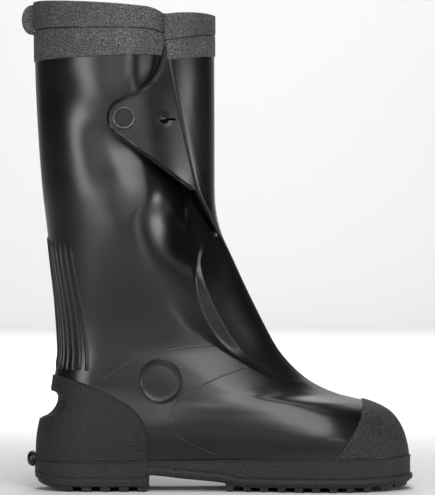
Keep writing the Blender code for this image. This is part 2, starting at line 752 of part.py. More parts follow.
def build_button(collection):
    """The button: a stem from the wall through the flap, and a wide head with an eased edge."""
    under = FLAP_LIFT + FLAP_THICKNESS + GAP
    top = under + BUTTON_HEIGHT
    dish = top - BUTTON_EDGE / 2.0
    profile = [
        (0.0, GAP),
        (STEM_RADIUS, GAP),
        (STEM_RADIUS, under),
        (BUTTON_RADIUS, under),
        (BUTTON_RADIUS, top - BUTTON_EDGE),
        (BUTTON_RADIUS - BUTTON_EDGE, top),
        (BUTTON_RADIUS - 2.0 * BUTTON_EDGE, dish),
        (0.0, dish),
    ]
    button = lathe("button_stud", collection, SMOOTH_PVC, profile, TURNED_SEGMENTS)
    button.rotation_euler = (math.radians(90.0), 0.0, 0.0)
    button.location = (BUTTON.x * MM, outer_y(BUTTON) * MM, BUTTON.z * MM)


def build_knob(collection):
    """The round knob at the back of the heel."""
    arc = [math.radians(degrees) for degrees in KNOB_ARC_DEG]
    dome = [(KNOB_RADIUS * math.cos(a), KNOB_REACH * math.sin(a)) for a in arc]
    knob = lathe("heel_knob", collection, SMOOTH_PVC, [(0.0, 0.0), *dome, (0.0, KNOB_REACH)], TURNED_SEGMENTS)
    knob.rotation_euler = (0.0, math.radians(-90.0), 0.0)
    knob.location = (KNOB_BASE_X * MM, 0.0, KNOB_Z * MM)


def build_pull_tab(collection):
    """The flat half-round tab at the back of the collar, in the plane of the shoe's middle."""
    seat_x = SECTIONS[-1].back_x - BAND_THICKNESS - 2.0 * GAP
    reach = seat_x - TAB_REACH_X
    outline = [(seat_x - reach * row.out, TAB_TOP_Z - row.down) for row in TAB_OUTLINE]
    side_prism("pull_tab", outline, collection, GRAINED_PVC, -TAB_THICKNESS / 2.0, TAB_THICKNESS / 2.0)


def build_disc(skin, collection, cutters):
    """The raised round disc over the ankle, following the wall."""
    turn = np.radians(np.arange(DISC_SEGMENTS) * 360.0 / DISC_SEGMENTS)
    outline = list(zip(DISC.x + DISC_RADIUS * np.cos(turn), DISC.z + DISC_RADIUS * np.sin(turn)))
    disc = side_prism("ankle_disc", outline, collection, SMOOTH_PVC, end_y=0.0)
    on_foot(disc, skin, DISC_THICKNESS, cutters)


def build_seam(name, points, skin, collection, cutters):
    """A raised style line lying on the outer side of the foot."""
    run = np.concatenate([[0.0], np.cumsum([math.dist(a, b) for a, b in zip(points, points[1:])])])
    where = np.linspace(0.0, run[-1], len(points) + 2)
    path = np.column_stack([smooth_table(run, [getattr(p, c) for p in points], where) for c in Point._fields])
    way = units(np.gradient(path, axis=0))
    across = right_of(way) * SEAM_WIDTH / 2.0
    outline = np.concatenate([path + across, (path - across)[::-1]])
    seam = side_prism(name, outline, collection, SMOOTH_PVC, end_y=0.0)
    on_foot(seam, skin, SEAM_HEIGHT, cutters)


def build_ribs(collection):
    """The upright ribs round the back of the ankle."""
    stations = np.linspace(LEVEL["topline"], LEVEL["calf"], BACK_LINE_STATIONS)
    back_z = section(stations).back_z
    for number in range(RIB_COUNT):
        from_back = (number - (RIB_COUNT - 1) / 2.0) * RIB_PITCH_DEG
        top = RIB_TOP_Z - RIB_DROP_PER_DEG * abs(from_back)
        levels = np.interp(np.linspace(RIB_BOTTOM_Z, top, RIB_STATIONS), back_z, stations)
        half = RIB_WIDTH / 2.0 / per_degree(levels, 180.0)
        layers = []
        for lift, share in ((RIB_LIFT, 1.0), (RIB_LIFT + RIB_HEIGHT, RIB_CREST_SHARE)):
            angles = 180.0 - from_back + half[:, None] * share * np.array([-1.0, 1.0])[None, :]
            layers.append(wall(levels[:, None], angles, lift))
        sheet(f"rear_rib_{number + 1:02d}", collection, SMOOTH_PVC, *layers)


class SolePlan:
    """The outline of the sole, which follows the faces of the upper at its rim."""

    def __init__(self, skin):
        """Takes the upper's ring at the rim and adds a pair of points on each side at the heel breast."""
        loop = [tuple(point[:2]) for point in skin.points[skin.row(LEVEL["rim"])]]
        for x in (HEEL_BREAST_X - BREAST_RUN, HEEL_BREAST_X):
            loop = self.with_points_at(loop, x)
        self.loop = np.array(loop)
        ahead = units(np.roll(self.loop, -1, axis=0) - self.loop)
        behind = units(self.loop - np.roll(self.loop, 1, axis=0))
        mitre = right_of(units(ahead + behind))
        self.out = mitre / np.sum(mitre * right_of(ahead), axis=-1, keepdims=True)

    @staticmethod
    def with_points_at(loop, x):
        """A loop with a point added wherever it crosses x."""
        full = []
        for (ax, ay), (bx, by) in zip(loop, loop[1:] + loop[:1]):
            full.append((ax, ay))
            if (ax - x) * (bx - x) < 0.0:
                full.append((x, ay + (by - ay) * (x - ax) / (bx - ax)))
        return full

    def moved(self, lift):
        """The outline moved outwards."""
        return self.loop + np.reshape(lift, (-1, 1)) * self.out


def zip_across(bm, row):
    """Closes a loop with triangles that run across from the outer to the inner side, from back to front."""
    front = max(range(len(row)), key=lambda i: row[i].co.x)
    outer, inner = row[: front + 1], [row[0], *row[:front:-1], row[front]]
    i, j = 0, 0
    while i < len(outer) - 1 or j < len(inner) - 1:
        step_outer = j == len(inner) - 1 or (i < len(outer) - 1 and outer[i + 1].co.x <= inner[j + 1].co.x)
        corners = [outer[i], outer[i + 1] if step_outer else inner[j + 1], inner[j]]
        if len(set(corners)) == 3:
            bm.faces.new(corners)
        i, j = (i + 1, j) if step_outer else (i, j + 1)


def build_outsole(skin, collection, cutters):
    """The sole: a base with a heel and an arch, a welt, a rim round the upper, and cleats."""
    outline = SolePlan(skin)
    x = outline.loop[:, 0]
    under, floor = along(SOLE_ROWS, "x", "under", x), along(SOLE_ROWS, "x", "floor", x)
    rim = ring_height(LEVEL["rim"], x)
    side = GAP + FOXING
    toe_welt = WELT_TOE * ease((x - TOE_WELT_X) / TOE_WELT_RUN)
    welt = side + WELT_SIDE * ease((x - HEEL_BREAST_X) / WELT_START) + toe_welt
    loops = [
        (side - TREAD_INSET, under),
        (welt, under + WELT_LOW),
        (welt, under + WELT_MIDDLE),
        (side, under + WELT_HIGH),
        (side, rim),
        (GAP, rim),
        (GAP, floor),
    ]
    rows = [np.column_stack([outline.moved(lift), z]) for lift, z in loops]
    bm = bmesh.new()
    verts = add_grid(bm, rows, closed=True)
    for row in (verts[0], verts[-1]):
        zip_across(bm, row)
    sole = new_object("outsole", bm, collection, GRAINED_PVC)
    boolean(sole, build_cleats(cutters), "UNION")


def edge_plan(lift, angle):
    """Plan of the sole's edge at an angle, moved outwards from the upper."""
    level = LEVEL["rim"]
    return plan(level, angle) + lift * right_of(tangent(level, angle))


def rim_angle(x):
    """Angle at which the rim of the upper passes x."""
    s = section(LEVEL["rim"])
    return math.degrees(math.acos(float((2.0 * x - s.front_x - s.back_x) / (s.front_x - s.back_x))))


def add_cleat(bm, foot, root):
    """A cleat from the outline of its foot up into the base of the sole."""
    rows = []
    for outline, column, rise in ((foot, "cleat", 0.0), (root, "under", CLEAT_ROOT)):
        rows.append([(x, y, float(along(SOLE_ROWS, "x", column, x)) + rise) for x, y in outline])
    loft(bm, rows)


def cleat_outline(x, length, lift, split, outer_side):
    """Outline of one block of a cleat row, from the middle groove to the sole's edge."""
    corners = []
    for end in (x - length / 2.0, x + length / 2.0):
        angle = rim_angle(end)
        edges = [float(edge_plan(lift, way * angle)[1]) for way in (1.0, -1.0)]
        sign = -1.0 if outer_side else 1.0
        corners.append((end, edges[0] if outer_side else edges[1], sum(edges) / 2.0 + sign * split))
    (xa, edge_a, mid_a), (xb, edge_b, mid_b) = corners
    return [(xa, edge_a), (xb, edge_b), (xb, mid_b), (xa, mid_a)]


def build_cleats(cutters):
    """All the cleats as one mesh, to be joined to the sole."""
    root_lift = GAP + FOXING - TREAD_INSET - CLEAT_INSET
    foot_lift = root_lift - CLEAT_DRAFT
    bm = bmesh.new()
    for rows in (FOREFOOT_CLEATS, HEEL_CLEATS):
        for x in (rows.first_x + rows.pitch * number for number in range(rows.count)):
            for outer_side in (True, False):
                split = CLEAT_SPLIT / 2.0
                foot = cleat_outline(x, rows.foot_length, foot_lift, split, outer_side)
                root = cleat_outline(x, rows.root_length, root_lift, split - CLEAT_DRAFT, outer_side)
                add_cleat(bm, foot, root)
    toe, heel = rim_angle(TOE_BLOCK_START_X), rim_angle(HEEL_BLOCK_END_X)
    for first, last in ((toe, -toe), (heel, 360.0 - heel)):
        angles = np.linspace(first, last, END_BLOCK_POINTS)
        add_cleat(bm, edge_plan(foot_lift, angles), edge_plan(root_lift, angles))
    return helper(new_object("cleats", bm, cutters, GRAINED_PVC))


def main():
    """Clears the scene and builds every piece."""
    for obj in list(bpy.data.objects):
        bpy.data.objects.remove(obj)
    parts = bpy.data.collections.new("overshoe")
    cutters = bpy.data.collections.new("cutters")
    for collection in (parts, cutters):
        bpy.context.scene.collection.children.link(collection)
    skin = Skin()
    build_outsole(skin, parts, cutters)
    build_upper(skin, parts)
    build_toe_cap(skin, parts, cutters)
    build_heel_counter(skin, parts, cutters)
    build_collar_band(skin, parts)
    build_flap(parts, cutters)
    build_button(parts)
    build_disc(skin, parts, cutters)
    build_seam("ankle_seam", ANKLE_SEAM, skin, parts, cutters)
    build_seam("vamp_seam", VAMP_SEAM, skin, parts, cutters)
    build_ribs(parts)
    build_knob(parts)
    build_pull_tab(parts)


main()
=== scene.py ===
"""Looks of a tall moulded PVC overshoe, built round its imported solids.

Sizes are in millimetres in the overshoe's own frame: the toe points to +X, the outer side to -Y and the
floor is z = 0. Meshes are made in metres. A place on the upper is a level, which counts the rows of SECTIONS,
and an angle, which is 0 at the front, 90 on the outer side, 180 at the back and below 0 on the inner side.
"""

import logging
import math
from dataclasses import dataclass, fields
from enum import Enum, IntEnum, auto
from typing import Sequence

import bmesh
import bpy
import numpy as np
from bpy.types import Material, Node, NodeSocket, Object
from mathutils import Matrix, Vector
from mathutils.kdtree import KDTree


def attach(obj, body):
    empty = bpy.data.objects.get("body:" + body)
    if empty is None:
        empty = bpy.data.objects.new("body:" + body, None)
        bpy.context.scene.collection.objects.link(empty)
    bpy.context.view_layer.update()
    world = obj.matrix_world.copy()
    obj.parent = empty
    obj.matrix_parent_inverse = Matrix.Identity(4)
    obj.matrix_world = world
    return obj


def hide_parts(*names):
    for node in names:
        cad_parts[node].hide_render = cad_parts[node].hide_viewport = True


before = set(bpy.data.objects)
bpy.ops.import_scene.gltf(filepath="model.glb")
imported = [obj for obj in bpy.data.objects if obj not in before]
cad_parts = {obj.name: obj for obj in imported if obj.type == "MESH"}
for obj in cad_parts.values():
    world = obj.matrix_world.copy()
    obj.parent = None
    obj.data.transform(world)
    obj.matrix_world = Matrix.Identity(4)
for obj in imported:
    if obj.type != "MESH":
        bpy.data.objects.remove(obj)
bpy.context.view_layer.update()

Array = np.ndarray
Colour = tuple[float, float, float]
MM = 0.001
BED = 0.1
BODY = "root"
log = logging.getLogger("overshoe")


class Level(IntEnum):
    """The named levels of the upper, from its lower edge to its collar."""

    EDGE = 0
    RIM = 1
    SIDE = 2
    LEDGE = 3
    SCOOP = 4
    LIP = 5
    TOPLINE = 6
    ANKLE = 7
    INSTEP = 8
    CALF_LOW = 9
    CALF = 10
    FLAP_TIP = 11
    BUTTON = 12
    BAND = 13
    COLLAR = 14


class Layer(Enum):
    """The sheets that lie over each other where the front fold doubles the upper."""

    WALL = auto()
    PANEL = auto()
    FLAP = auto()


class Place(Enum):
    """The parts of the upper that a crease can lie on."""

    OUTER_WALL = auto()
    UNDER_FLAP = auto()
    FRONT_PANEL = auto()
    INNER_WALL = auto()


class Slot(Enum):
    """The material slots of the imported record."""

    SMOOTH = "smooth_pvc"
    GRAINED = "grained_pvc"


@dataclass(frozen=True)
class Section:
    """One level of the upper, from a point on its back line to a point on its front line."""

    back_x: float
    back_z: float
    front_x: float
    front_z: float
    heel: float
    waist: float
    ball: float
    back_round: float
    front_round: float
    swing: float


@dataclass(frozen=True)
class Fold:
    """One stage of the front fold: how far it is formed, where its turns lie and how the wall dips to it."""

    share: float
    ridge: float
    valley: float
    depth: float
    radius: float
    dip_start: float
    dip_end: float
    dip: float


@dataclass(frozen=True)
class SoleRow:
    """Heights of the sole at one length: its underside, the ends of its cleats and the floor inside."""

    x: float
    under: float
    cleat: float
    floor: float


@dataclass(frozen=True)
class Edge:
    """A point of a side view edge, as height against length."""

    z: float
    x: float


@dataclass(frozen=True)
class Point:
    """A point of the side view."""

    x: float
    z: float


def line_of(*pairs: tuple[float, float]) -> tuple[Point, ...]:
    """A side view line from pairs of length and height."""
    return tuple(Point(x, z) for x, z in pairs)


def edge_of(*pairs: tuple[float, float]) -> tuple[Edge, ...]:
    """A side view edge from pairs of height and length."""
    return tuple(Edge(z, x) for z, x in pairs)


SECTIONS = {
    Level.EDGE: Section(-159.5, 22.3, 168.3, 16.0, 37.5, 36.5, 54.0, 40, 62, 7),
    Level.RIM: Section(-160.0, 26.0, 169.4, 30.0, 38.5, 38.0, 55.0, 40, 62, 7),
    Level.SIDE: Section(-159.6, 42.0, 166.2, 47.0, 39.0, 41.0, 54.5, 41, 62, 7),
    Level.LEDGE: Section(-157.0, 60.0, 155.5, 66.0, 38.5, 42.5, 51.5, 42, 66, 7),
    Level.SCOOP: Section(-151.5, 76.0, 136.5, 76.8, 37.5, 43.5, 47.0, 43, 80, 6),
    Level.LIP: Section(-146.5, 90.0, 108.0, 84.2, 37.0, 43.5, 42.0, 45, 92, 4),
    Level.TOPLINE: Section(-144.3, 104.0, 84.0, 95.0, 38.0, 43.5, 41.0, 48, 98, 2),
    Level.ANKLE: Section(-141.4, 123.0, 56.5, 120.5, 41.0, 44.0, 43.0, 56, 100, 0),
    Level.INSTEP: Section(-143.7, 162.0, 34.5, 160.0, 47.0, 48.0, 47.5, 68, 96, 0),
    Level.CALF_LOW: Section(-148.2, 202.0, 14.8, 202.0, 51.5, 52.0, 52.0, 76, 84, 0),
    Level.CALF: Section(-152.0, 236.0, 0.8, 236.0, 54.5, 55.0, 55.0, 76, 76, 0),
    Level.FLAP_TIP: Section(-155.4, 264.0, -2.4, 264.0, 57.0, 57.0, 57.0, 76, 76, 0),
    Level.BUTTON: Section(-160.0, 325.0, -2.6, 325.0, 60.0, 60.0, 60.0, 78, 78, 0),
    Level.BAND: Section(-162.2, 378.5, -2.8, 383.5, 61.5, 61.5, 61.5, 79, 79, 0),
    Level.COLLAR: Section(-162.8, 431.5, -2.9, 419.5, 62.0, 62.0, 62.0, 79, 79, 0),
}

FOLDS = {
    Level.TOPLINE: Fold(0.0, 0.0, 33.0, 1.0, 3.0, 44.0, 33.5, 4.0),
    Level.ANKLE: Fold(1.0, 0.0, 46.0, 1.0, 3.0, 58.0, 46.5, 4.0),
    Level.INSTEP: Fold(1.0, 0.0, 52.0, 1.0, 4.0, 88.0, 53.0, 5.0),
    Level.CALF_LOW: Fold(1.0, 2.0, 45.0, 3.0, 6.5, 98.0, 47.0, 9.5),
    Level.CALF: Fold(1.0, 13.0, 3.0, 5.0, 1.0, 95.0, 36.0, 20.0),
    Level.FLAP_TIP: Fold(1.0, 34.0, 12.0, 11.0, 1.0, 76.0, 34.0, 19.5),
    Level.BUTTON: Fold(1.0, 49.0, 17.0, 6.2, 0.6, 84.0, 52.0, 6.8),
    Level.BAND: Fold(1.0, 58.0, 24.0, 6.2, 0.6, 88.0, 61.0, 6.8),
    Level.COLLAR: Fold(1.0, 60.0, 26.0, 6.2, 0.6, 93.0, 63.0, 6.8),
}

BLEND_LEVELS = 0.3
HEEL_BREAST_X = -61.0
BREAST_RUN = 2.5
SOLE_ROWS = (
    SoleRow(-164.0, 12.0, 9.0, 22.0),
    SoleRow(-150.0, 8.0, 4.4, 22.0),
    SoleRow(-134.0, 5.2, 1.2, 22.0),
    SoleRow(-122.0, 4.6, 0.0, 22.0),
    SoleRow(HEEL_BREAST_X - BREAST_RUN, 4.6, 0.0, 20.8),
    SoleRow(HEEL_BREAST_X, 14.6, 0.0, 20.6),
    SoleRow(-30.0, 11.6, 0.0, 18.0),
    SoleRow(5.0, 8.0, 1.4, 14.6),
    SoleRow(22.0, 4.6, 0.6, 13.2),
    SoleRow(40.0, 4.3, 0.0, 12.5),
    SoleRow(108.0, 4.3, 0.0, 12.5),
    SoleRow(150.0, 5.8, 2.0, 14.0),
    SoleRow(175.0, 7.4, 4.4, 16.5),
)


def ease(value: Array | float) -> Array:
    """Rises smoothly from 0 to 1 as value goes from 0 to 1."""
    part = np.clip(value, 0.0, 1.0)
    return part * part * (3.0 - 2.0 * part)


def smooth(stations: Sequence[float], values: Sequence[float], where: Array | float) -> Array:
    """Reads a curve through a table that rises and falls only where the table does.

    Args:
        stations: Where the table's values lie, in rising order.
        values: The table's values.
        where: The places to read.

    Returns:
        The curve's values at those places.
    """
    stations = np.asarray(stations, float)
    values = np.asarray(values, float)
    where = np.clip(np.asarray(where, float), stations[0], stations[-1])
    step = np.diff(stations)
    slope = np.diff(values) / step
    turn = slope[:-1] * slope[1:]
    level = np.where(turn > 0, 2.0 * turn / np.where(turn > 0, slope[:-1] + slope[1:], 1.0), 0.0)
    tangent = np.concatenate([slope[:1], level, slope[-1:]])
    index = np.clip(np.searchsorted(stations, where, side="right") - 1, 0, len(step) - 1)
    width = step[index]
    part = (where - stations[index]) / width
    start, end = values[index], values[index + 1]
    rise, fall = tangent[index] * width, tangent[index + 1] * width
    bend = 2.0 * (start - end) + rise + fall
    return start + part * (rise + part * (3.0 * (end - start) - 2.0 * rise - fall + part * bend))


def along(rows: Sequence[object], by: str, column: str, where: Array | float) -> Array:
    """Reads one named column of a table at places along another column."""
    return smooth([getattr(r, by) for r in rows], [getattr(r, column) for r in rows], where)


def units(steps: Array) -> Array:
    """Directions of steps, leaving steps of no length alone."""
    size = np.linalg.norm(steps, axis=-1, keepdims=True)
    return steps / np.where(size > 1e-9, size, 1.0)


def right_of(direction: Array) -> Array:
    """The plan direction a quarter turn to the right."""
    return np.stack([direction[..., 1], -direction[..., 0]], axis=-1)


def turned(direction: Array, radians: Array) -> Array:
    """A plan direction turned to the left by an angle."""
    c, s = np.cos(radians), np.sin(radians)
    return np.stack([c * direction[0] - s * direction[1], s * direction[0] + c * direction[1]], axis=-1)


def run_of(rows: Array) -> Array:
    """Length walked from the first row of points to each row."""
    steps = np.linalg.norm(np.diff(rows, axis=0), axis=-1)
    return np.concatenate([np.zeros_like(steps[:1]), np.cumsum(steps, axis=0)])


def through(points: Sequence[Point], count: int) -> Array:
    """Even steps along a smooth line through side view points.

    Args:
        points: The points of the line.
        count: How many steps to give.

    Returns:
        An array of x and z.
    """
    rows = np.array([(p.x, p.z) for p in points])
    run = run_of(rows)
    where = np.linspace(0.0, run[-1], count)
    return np.column_stack([smooth(run, rows[:, 0], where), smooth(run, rows[:, 1], where)])


def lip(distance: Array, reach: float) -> Array:
    """A quarter round that rises from 0 at an edge to 1 at its reach."""
    part = np.clip(distance / reach, 0.0, 1.0)
    return np.sqrt(1.0 - (1.0 - part) ** 2)


def edged(distance: Array, reach: float, start: float) -> Array:
    """Share of a thickness that rises in a quarter round from its start at an edge."""
    return start + (1.0 - start) * lip(distance, reach)


def lipped(count: int, length: float, lips: Sequence[float], start: bool, end: bool) -> Array:
    """Shares from 0 to 1 that lie closer together at the ends that have a lip.

    Args:
        count: How many even steps fill the middle.
        length: Length that the shares stand for.
        lips: Distances of the extra steps from an end.
        start: Whether the first end has a lip.
        end: Whether the last end has a lip.

    Returns:
        The shares in rising order.
    """
    near = np.array(lips) / length
    first = near[-1] if start else 0.0
    last = 1.0 - near[-1] if end else 1.0
    shares = [near[:-1] if start else [], np.linspace(first, last, count), 1.0 - near[-2::-1] if end else []]
    return np.concatenate(shares)


@dataclass(frozen=True)
class Crease:
    """A soft trough or ridge of the upper, placed along a side view path."""

    place: Place
    height: float
    width: float
    path: tuple[Point, ...]
    end_share: float = 0.35
    steps: int = 36

    def at(self, x: Array, z: Array) -> Array:
        """Height of the crease at side view places.

        Args:
            x: Lengths of the places.
            z: Heights of the places.

        Returns:
            Heights out of the upper, below 0 in a trough.
        """
        spots = through(self.path, self.steps)
        share = np.linspace(0.0, 1.0, self.steps)
        taper = ease(share / self.end_share) * ease((1.0 - share) / self.end_share)
        away = (x[..., None] - spots[:, 0]) ** 2 + (z[..., None] - spots[:, 1]) ** 2
        return self.height * np.max(taper * np.exp(-away / self.width**2), axis=-1)


CREASES = (
    Crease(Place.OUTER_WALL, -2.8, 20.0, line_of((-152, 358), (-134, 345), (-120, 332), (-100, 318))),
    Crease(Place.UNDER_FLAP, -8.5, 25.0, line_of((-98, 320), (-76, 306), (-50, 295), (-20, 280))),
    Crease(
        Place.OUTER_WALL, -1.5, 13.0, line_of((-90, 329), (-104, 319), (-108, 304), (-104, 286), (-97, 258))
    ),
    Crease(Place.OUTER_WALL, 1.4, 9.0, line_of((-75, 400), (-76, 380), (-77.5, 366), (-80, 345))),
    Crease(Place.OUTER_WALL, 2.4, 24.0, line_of((-74, 262), (-70, 226), (-67, 192), (-66, 158))),
    Crease(Place.OUTER_WALL, -8.0, 45.0, line_of((-116, 134), (-66, 144), (-22, 146), (22, 134))),
    Crease(Place.OUTER_WALL, 4.2, 22.0, line_of((-76, 50), (-20, 55), (40, 53), (120, 38)), 0.15),
    Crease(Place.OUTER_WALL, -1.8, 10.0, line_of((-54, 412), (-55, 388), (-57, 368), (-64, 346))),
    Crease(Place.FRONT_PANEL, -0.7, 9.0, line_of((-14, 372), (-13, 340), (-12, 300), (-10, 268))),
    Crease(Place.INNER_WALL, -1.8, 12.0, line_of((-140, 352), (-118, 344), (-94, 326))),
    Crease(Place.INNER_WALL, -1.8, 13.0, line_of((-30, 300), (-48, 276), (-58, 244), (-60, 214))),
    Crease(Place.INNER_WALL, -1.8, 9.0, line_of((26, 142), (2, 150), (-24, 164), (-52, 172))),
    Crease(Place.INNER_WALL, 1.4, 10.0, line_of((22, 160), (-2, 172), (-28, 186), (-50, 192))),
    Crease(Place.INNER_WALL, -1.2, 15.0, line_of((-100, 236), (-98, 200), (-94, 160))),
    Crease(Place.INNER_WALL, -4.0, 34.0, line_of((-114, 122), (-64, 130), (-22, 132), (20, 122))),
)


@dataclass(frozen=True)
class Counts:
    """How many points each stretch of a ring has."""

    near: int
    dip: int
    valley: int
    middle: int
    ridge: int
    far: int


@dataclass(frozen=True)
class Form:
    """The outside of the upper, with its front fold, heel scoop and creases."""

    swing_length: float = 168.0
    waist_start: float = 0.15
    waist_run: float = 0.35
    ball_start: float = 0.5
    ball_run: float = 0.3
    waist_cut: float = 6.0
    waist_x: float = -25.0
    waist_spread: float = 48.0
    outer_waist_share: float = 0.3
    ridge_radius: float = 2.8
    keel_lean: float = 26.0
    keel_ease: float = 0.36
    full_overlap: float = 12.0
    far_spread: float = 1.15
    settle: float = 5.6
    settle_back: float = 17.0
    settle_front: float = 44.0
    settle_levels: float = 1.6
    scoop_z: float = 75.5
    scoop_half_height: float = 13.0
    scoop_half_width: float = 31.0
    scoop_depth: float = 10.6
    scoop_soft: float = 0.04
    flap_lift: float = 0.8
    flap_thickness: float = 2.0
    edge_gap: float = 0.5
    uneven: float = 0.3
    uneven_z: float = 95.0
    uneven_run: float = 60.0
    wave_shift: float = 0.7
    first_wave: Point = Point(15.0, 33.0)
    second_wave: Point = Point(43.0, 21.0)
    side_fade: float = 0.22
    fold_fade: float = 8.0
    sole_z: float = 31.0
    sole_fade: float = 16.0
    angle_step: float = 0.4
    level_step: float = 0.02
    halvings: int = 32

    @staticmethod
    def read(kind: type, rows: dict, level: Array | float) -> object:
        """Reads a table of levels between its rows.

        Args:
            kind: The class of the table's rows.
            rows: The rows by their level.
            level: The levels to read.

        Returns:
            A row of that class that holds the values at those levels.
        """
        at = [int(key) for key in rows]
        names = [f.name for f in fields(kind)]
        return kind(*(smooth(at, [getattr(r, name) for r in rows.values()], level) for name in names))

    def section(self, level: Array | float) -> Section:
        """The section at any level."""
        return self.read(Section, SECTIONS, level)

    def fold(self, level: Array | float) -> Fold:
        """The front fold at any level."""
        return self.read(Fold, FOLDS, level)

    def half_width(self, s: Section, x: Array, outer_side: Array) -> Array:
        """Half-width of a section at a length.

        Args:
            s: The section.
            x: The lengths.
            outer_side: Where the places are on the outer side of the foot.

        Returns:
            The half-widths.
        """
        part = (x - s.back_x) / (s.front_x - s.back_x)
        width = s.heel + (s.waist - s.heel) * ease((part - self.waist_start) / self.waist_run)
        width = width + (s.ball - s.waist) * ease((part - self.ball_start) / self.ball_run)
        swing = s.swing / SECTIONS[Level.EDGE].swing
        waist = self.waist_cut * swing * np.exp(-(((x - self.waist_x) / self.waist_spread) ** 2))
        width = width - np.where(outer_side, self.outer_waist_share, 1.0) * waist
        back = np.clip((x - s.back_x) / s.back_round, 0.0, 1.0)
        front = np.clip((s.front_x - x) / s.front_round, 0.0, 1.0)
        return width * np.sqrt((1.0 - (1.0 - back) ** 2) * (1.0 - (1.0 - front) ** 2))

    def plan(self, level: Array | float, angle: Array | float) -> Array:
        """Plan of the unfolded upper.

        Args:
            level: Levels of the places.
            angle: Angles of the places.

        Returns:
            An array of x and y.
        """
        s = self.section(level)
        turn = np.radians(angle)
        x = (s.front_x + s.back_x) / 2.0 + (s.front_x - s.back_x) / 2.0 * np.cos(turn)
        outer_side = np.sin(turn) >= 0.0
        y = s.swing * ease(x / self.swing_length)
        y = y - np.where(outer_side, 1.0, -1.0) * self.half_width(s, x, outer_side)
        return np.stack([x, y], axis=-1)

    def tangent(self, level: Array | float, angle: Array | float) -> Array:
        """Direction of the plan, walking from the back past the outer side to the front."""
        return units(self.plan(level, angle - self.angle_step) - self.plan(level, angle + self.angle_step))

    def per_degree(self, level: Array | float, angle: Array | float) -> Array:
        """Length of the plan curve in one degree."""
        return np.linalg.norm(self.plan(level, angle + 0.5) - self.plan(level, angle - 0.5), axis=-1)

    def dip_share(self, level: Array, angle: Array) -> Array:
        """How far the outer wall has dipped under the fold, from 0 to 1."""
        f = self.fold(level)
        return ease((f.dip_start - angle) / (f.dip_start - f.dip_end)) * f.share

    def settled(self, level: Array | float, x: Array) -> Array:
        """Drop of the collar where it goes over the fold.

        Args:
            level: Levels of the places.
            x: Their lengths.

        Returns:
            The drops, largest at the fold.
        """
        from_fold = x - self.plan(level, self.fold(level).ridge)[..., 0] + self.ridge_radius
        away = np.where(from_fold < 0.0, -from_fold / self.settle_back, from_fold / self.settle_front)
        high = ease((level - Level.COLLAR + self.settle_levels) / self.settle_levels)
        return self.settle * high * np.clip(1.0 - away, 0.0, 1.0) ** 2

    def height(self, level: Array | float, x: Array) -> Array:
        """Height of a level over a length. The lowest level follows the floor inside the sole.

        Args:
            level: Levels of the places.
            x: Their lengths.

        Returns:
            The heights.
        """
        s = self.section(level)
        straight = s.back_z + (s.front_z - s.back_z) * (x - s.back_x) / (s.front_x - s.back_x)
        edge = along(SOLE_ROWS, "x", "floor", x) + self.edge_gap
        return edge + (straight - edge) * np.clip(level, 0.0, 1.0) - self.settled(level, x)

    def scooped(self, points: Array) -> Array:
        """Presses in the scoop over the heel ledge.

        Args:
            points: Points of the upper.

        Returns:
            The points, moved where the scoop is.
        """
        high = ((points[..., 2] - self.scoop_z) / self.scoop_half_height) ** 2
        wide = (points[..., 1] / self.scoop_half_width) ** 4
        inside = np.clip(1.0 - high - wide, 0.0, 1.0)
        depth = self.scoop_depth * inside / np.sqrt(inside + self.scoop_soft)
        moved = points.copy()
        moved[..., 0] += np.where(points[..., 0] < HEEL_BREAST_X, depth, 0.0)
        return moved

    def flat(self, level: Array, angle: Array, layer: Layer) -> Array:
        """Plan of one sheet of the upper.

        Args:
            level: Levels of the places.
            angle: Angles of the places.
            layer: The sheet.

        Returns:
            An array of x and y.
        """
        base = self.plan(level, angle)
        if layer is Layer.PANEL:
            return base
        dip = self.dip_share(level, angle)
        if layer is Layer.WALL:
            f = self.fold(level)
            back = ease((f.dip_end - angle) / (f.dip_end - f.valley))
            lift = -np.where(angle > 0.0, dip * (f.dip + (f.depth + f.radius - f.dip) * back), 0.0)
        else:
            lift = self.flap_lift - (self.ridge_radius + self.flap_thickness / 2.0) * dip
        return base + right_of(self.tangent(level, angle)) * lift[..., None]

    def relief(self, points: Array, level: Array, angle: Array, layer: Layer) -> Array:
        """Height of the creases and the slight unevenness of a moulded wall.

        Args:
            points: Places on the smooth sheet.
            level: Their levels.
            angle: Their angles.
            layer: The sheet.

        Returns:
            Heights out of the upper.
        """
        f = self.fold(level)
        side = np.sin(np.radians(angle))
        from_fold = f.ridge - angle if layer is Layer.PANEL else angle - f.valley
        clear = 1.0 - f.share * (1.0 - ease(from_fold / self.fold_fade))
        outer, inner = ease(side / self.side_fade) * clear, ease(-side / self.side_fade)
        weight = {
            Place.OUTER_WALL: outer * (layer is not Layer.PANEL),
            Place.UNDER_FLAP: outer * (layer is Layer.WALL),
            Place.FRONT_PANEL: outer * (layer is Layer.PANEL),
            Place.INNER_WALL: inner,
        }
        x, z = points[..., 0], points[..., 2]
        one, two = self.first_wave, self.second_wave
        wave = np.sin(x / one.x + z / one.z) * np.sin(z / two.z - x / two.x + self.wave_shift)
        total = self.uneven * wave * (outer + inner) * ease((z - self.uneven_z) / self.uneven_run)
        for crease in CREASES:
            total = total + weight[crease.place] * crease.at(x, z)
        return total * ease((z - self.sole_z) / self.sole_fade)

    def raised(self, level: Array, flat: Array) -> Array:
        """Plan points lifted to the height of their level."""
        return self.scooped(np.concatenate([flat, self.height(level, flat[..., 0])[..., None]], axis=-1))

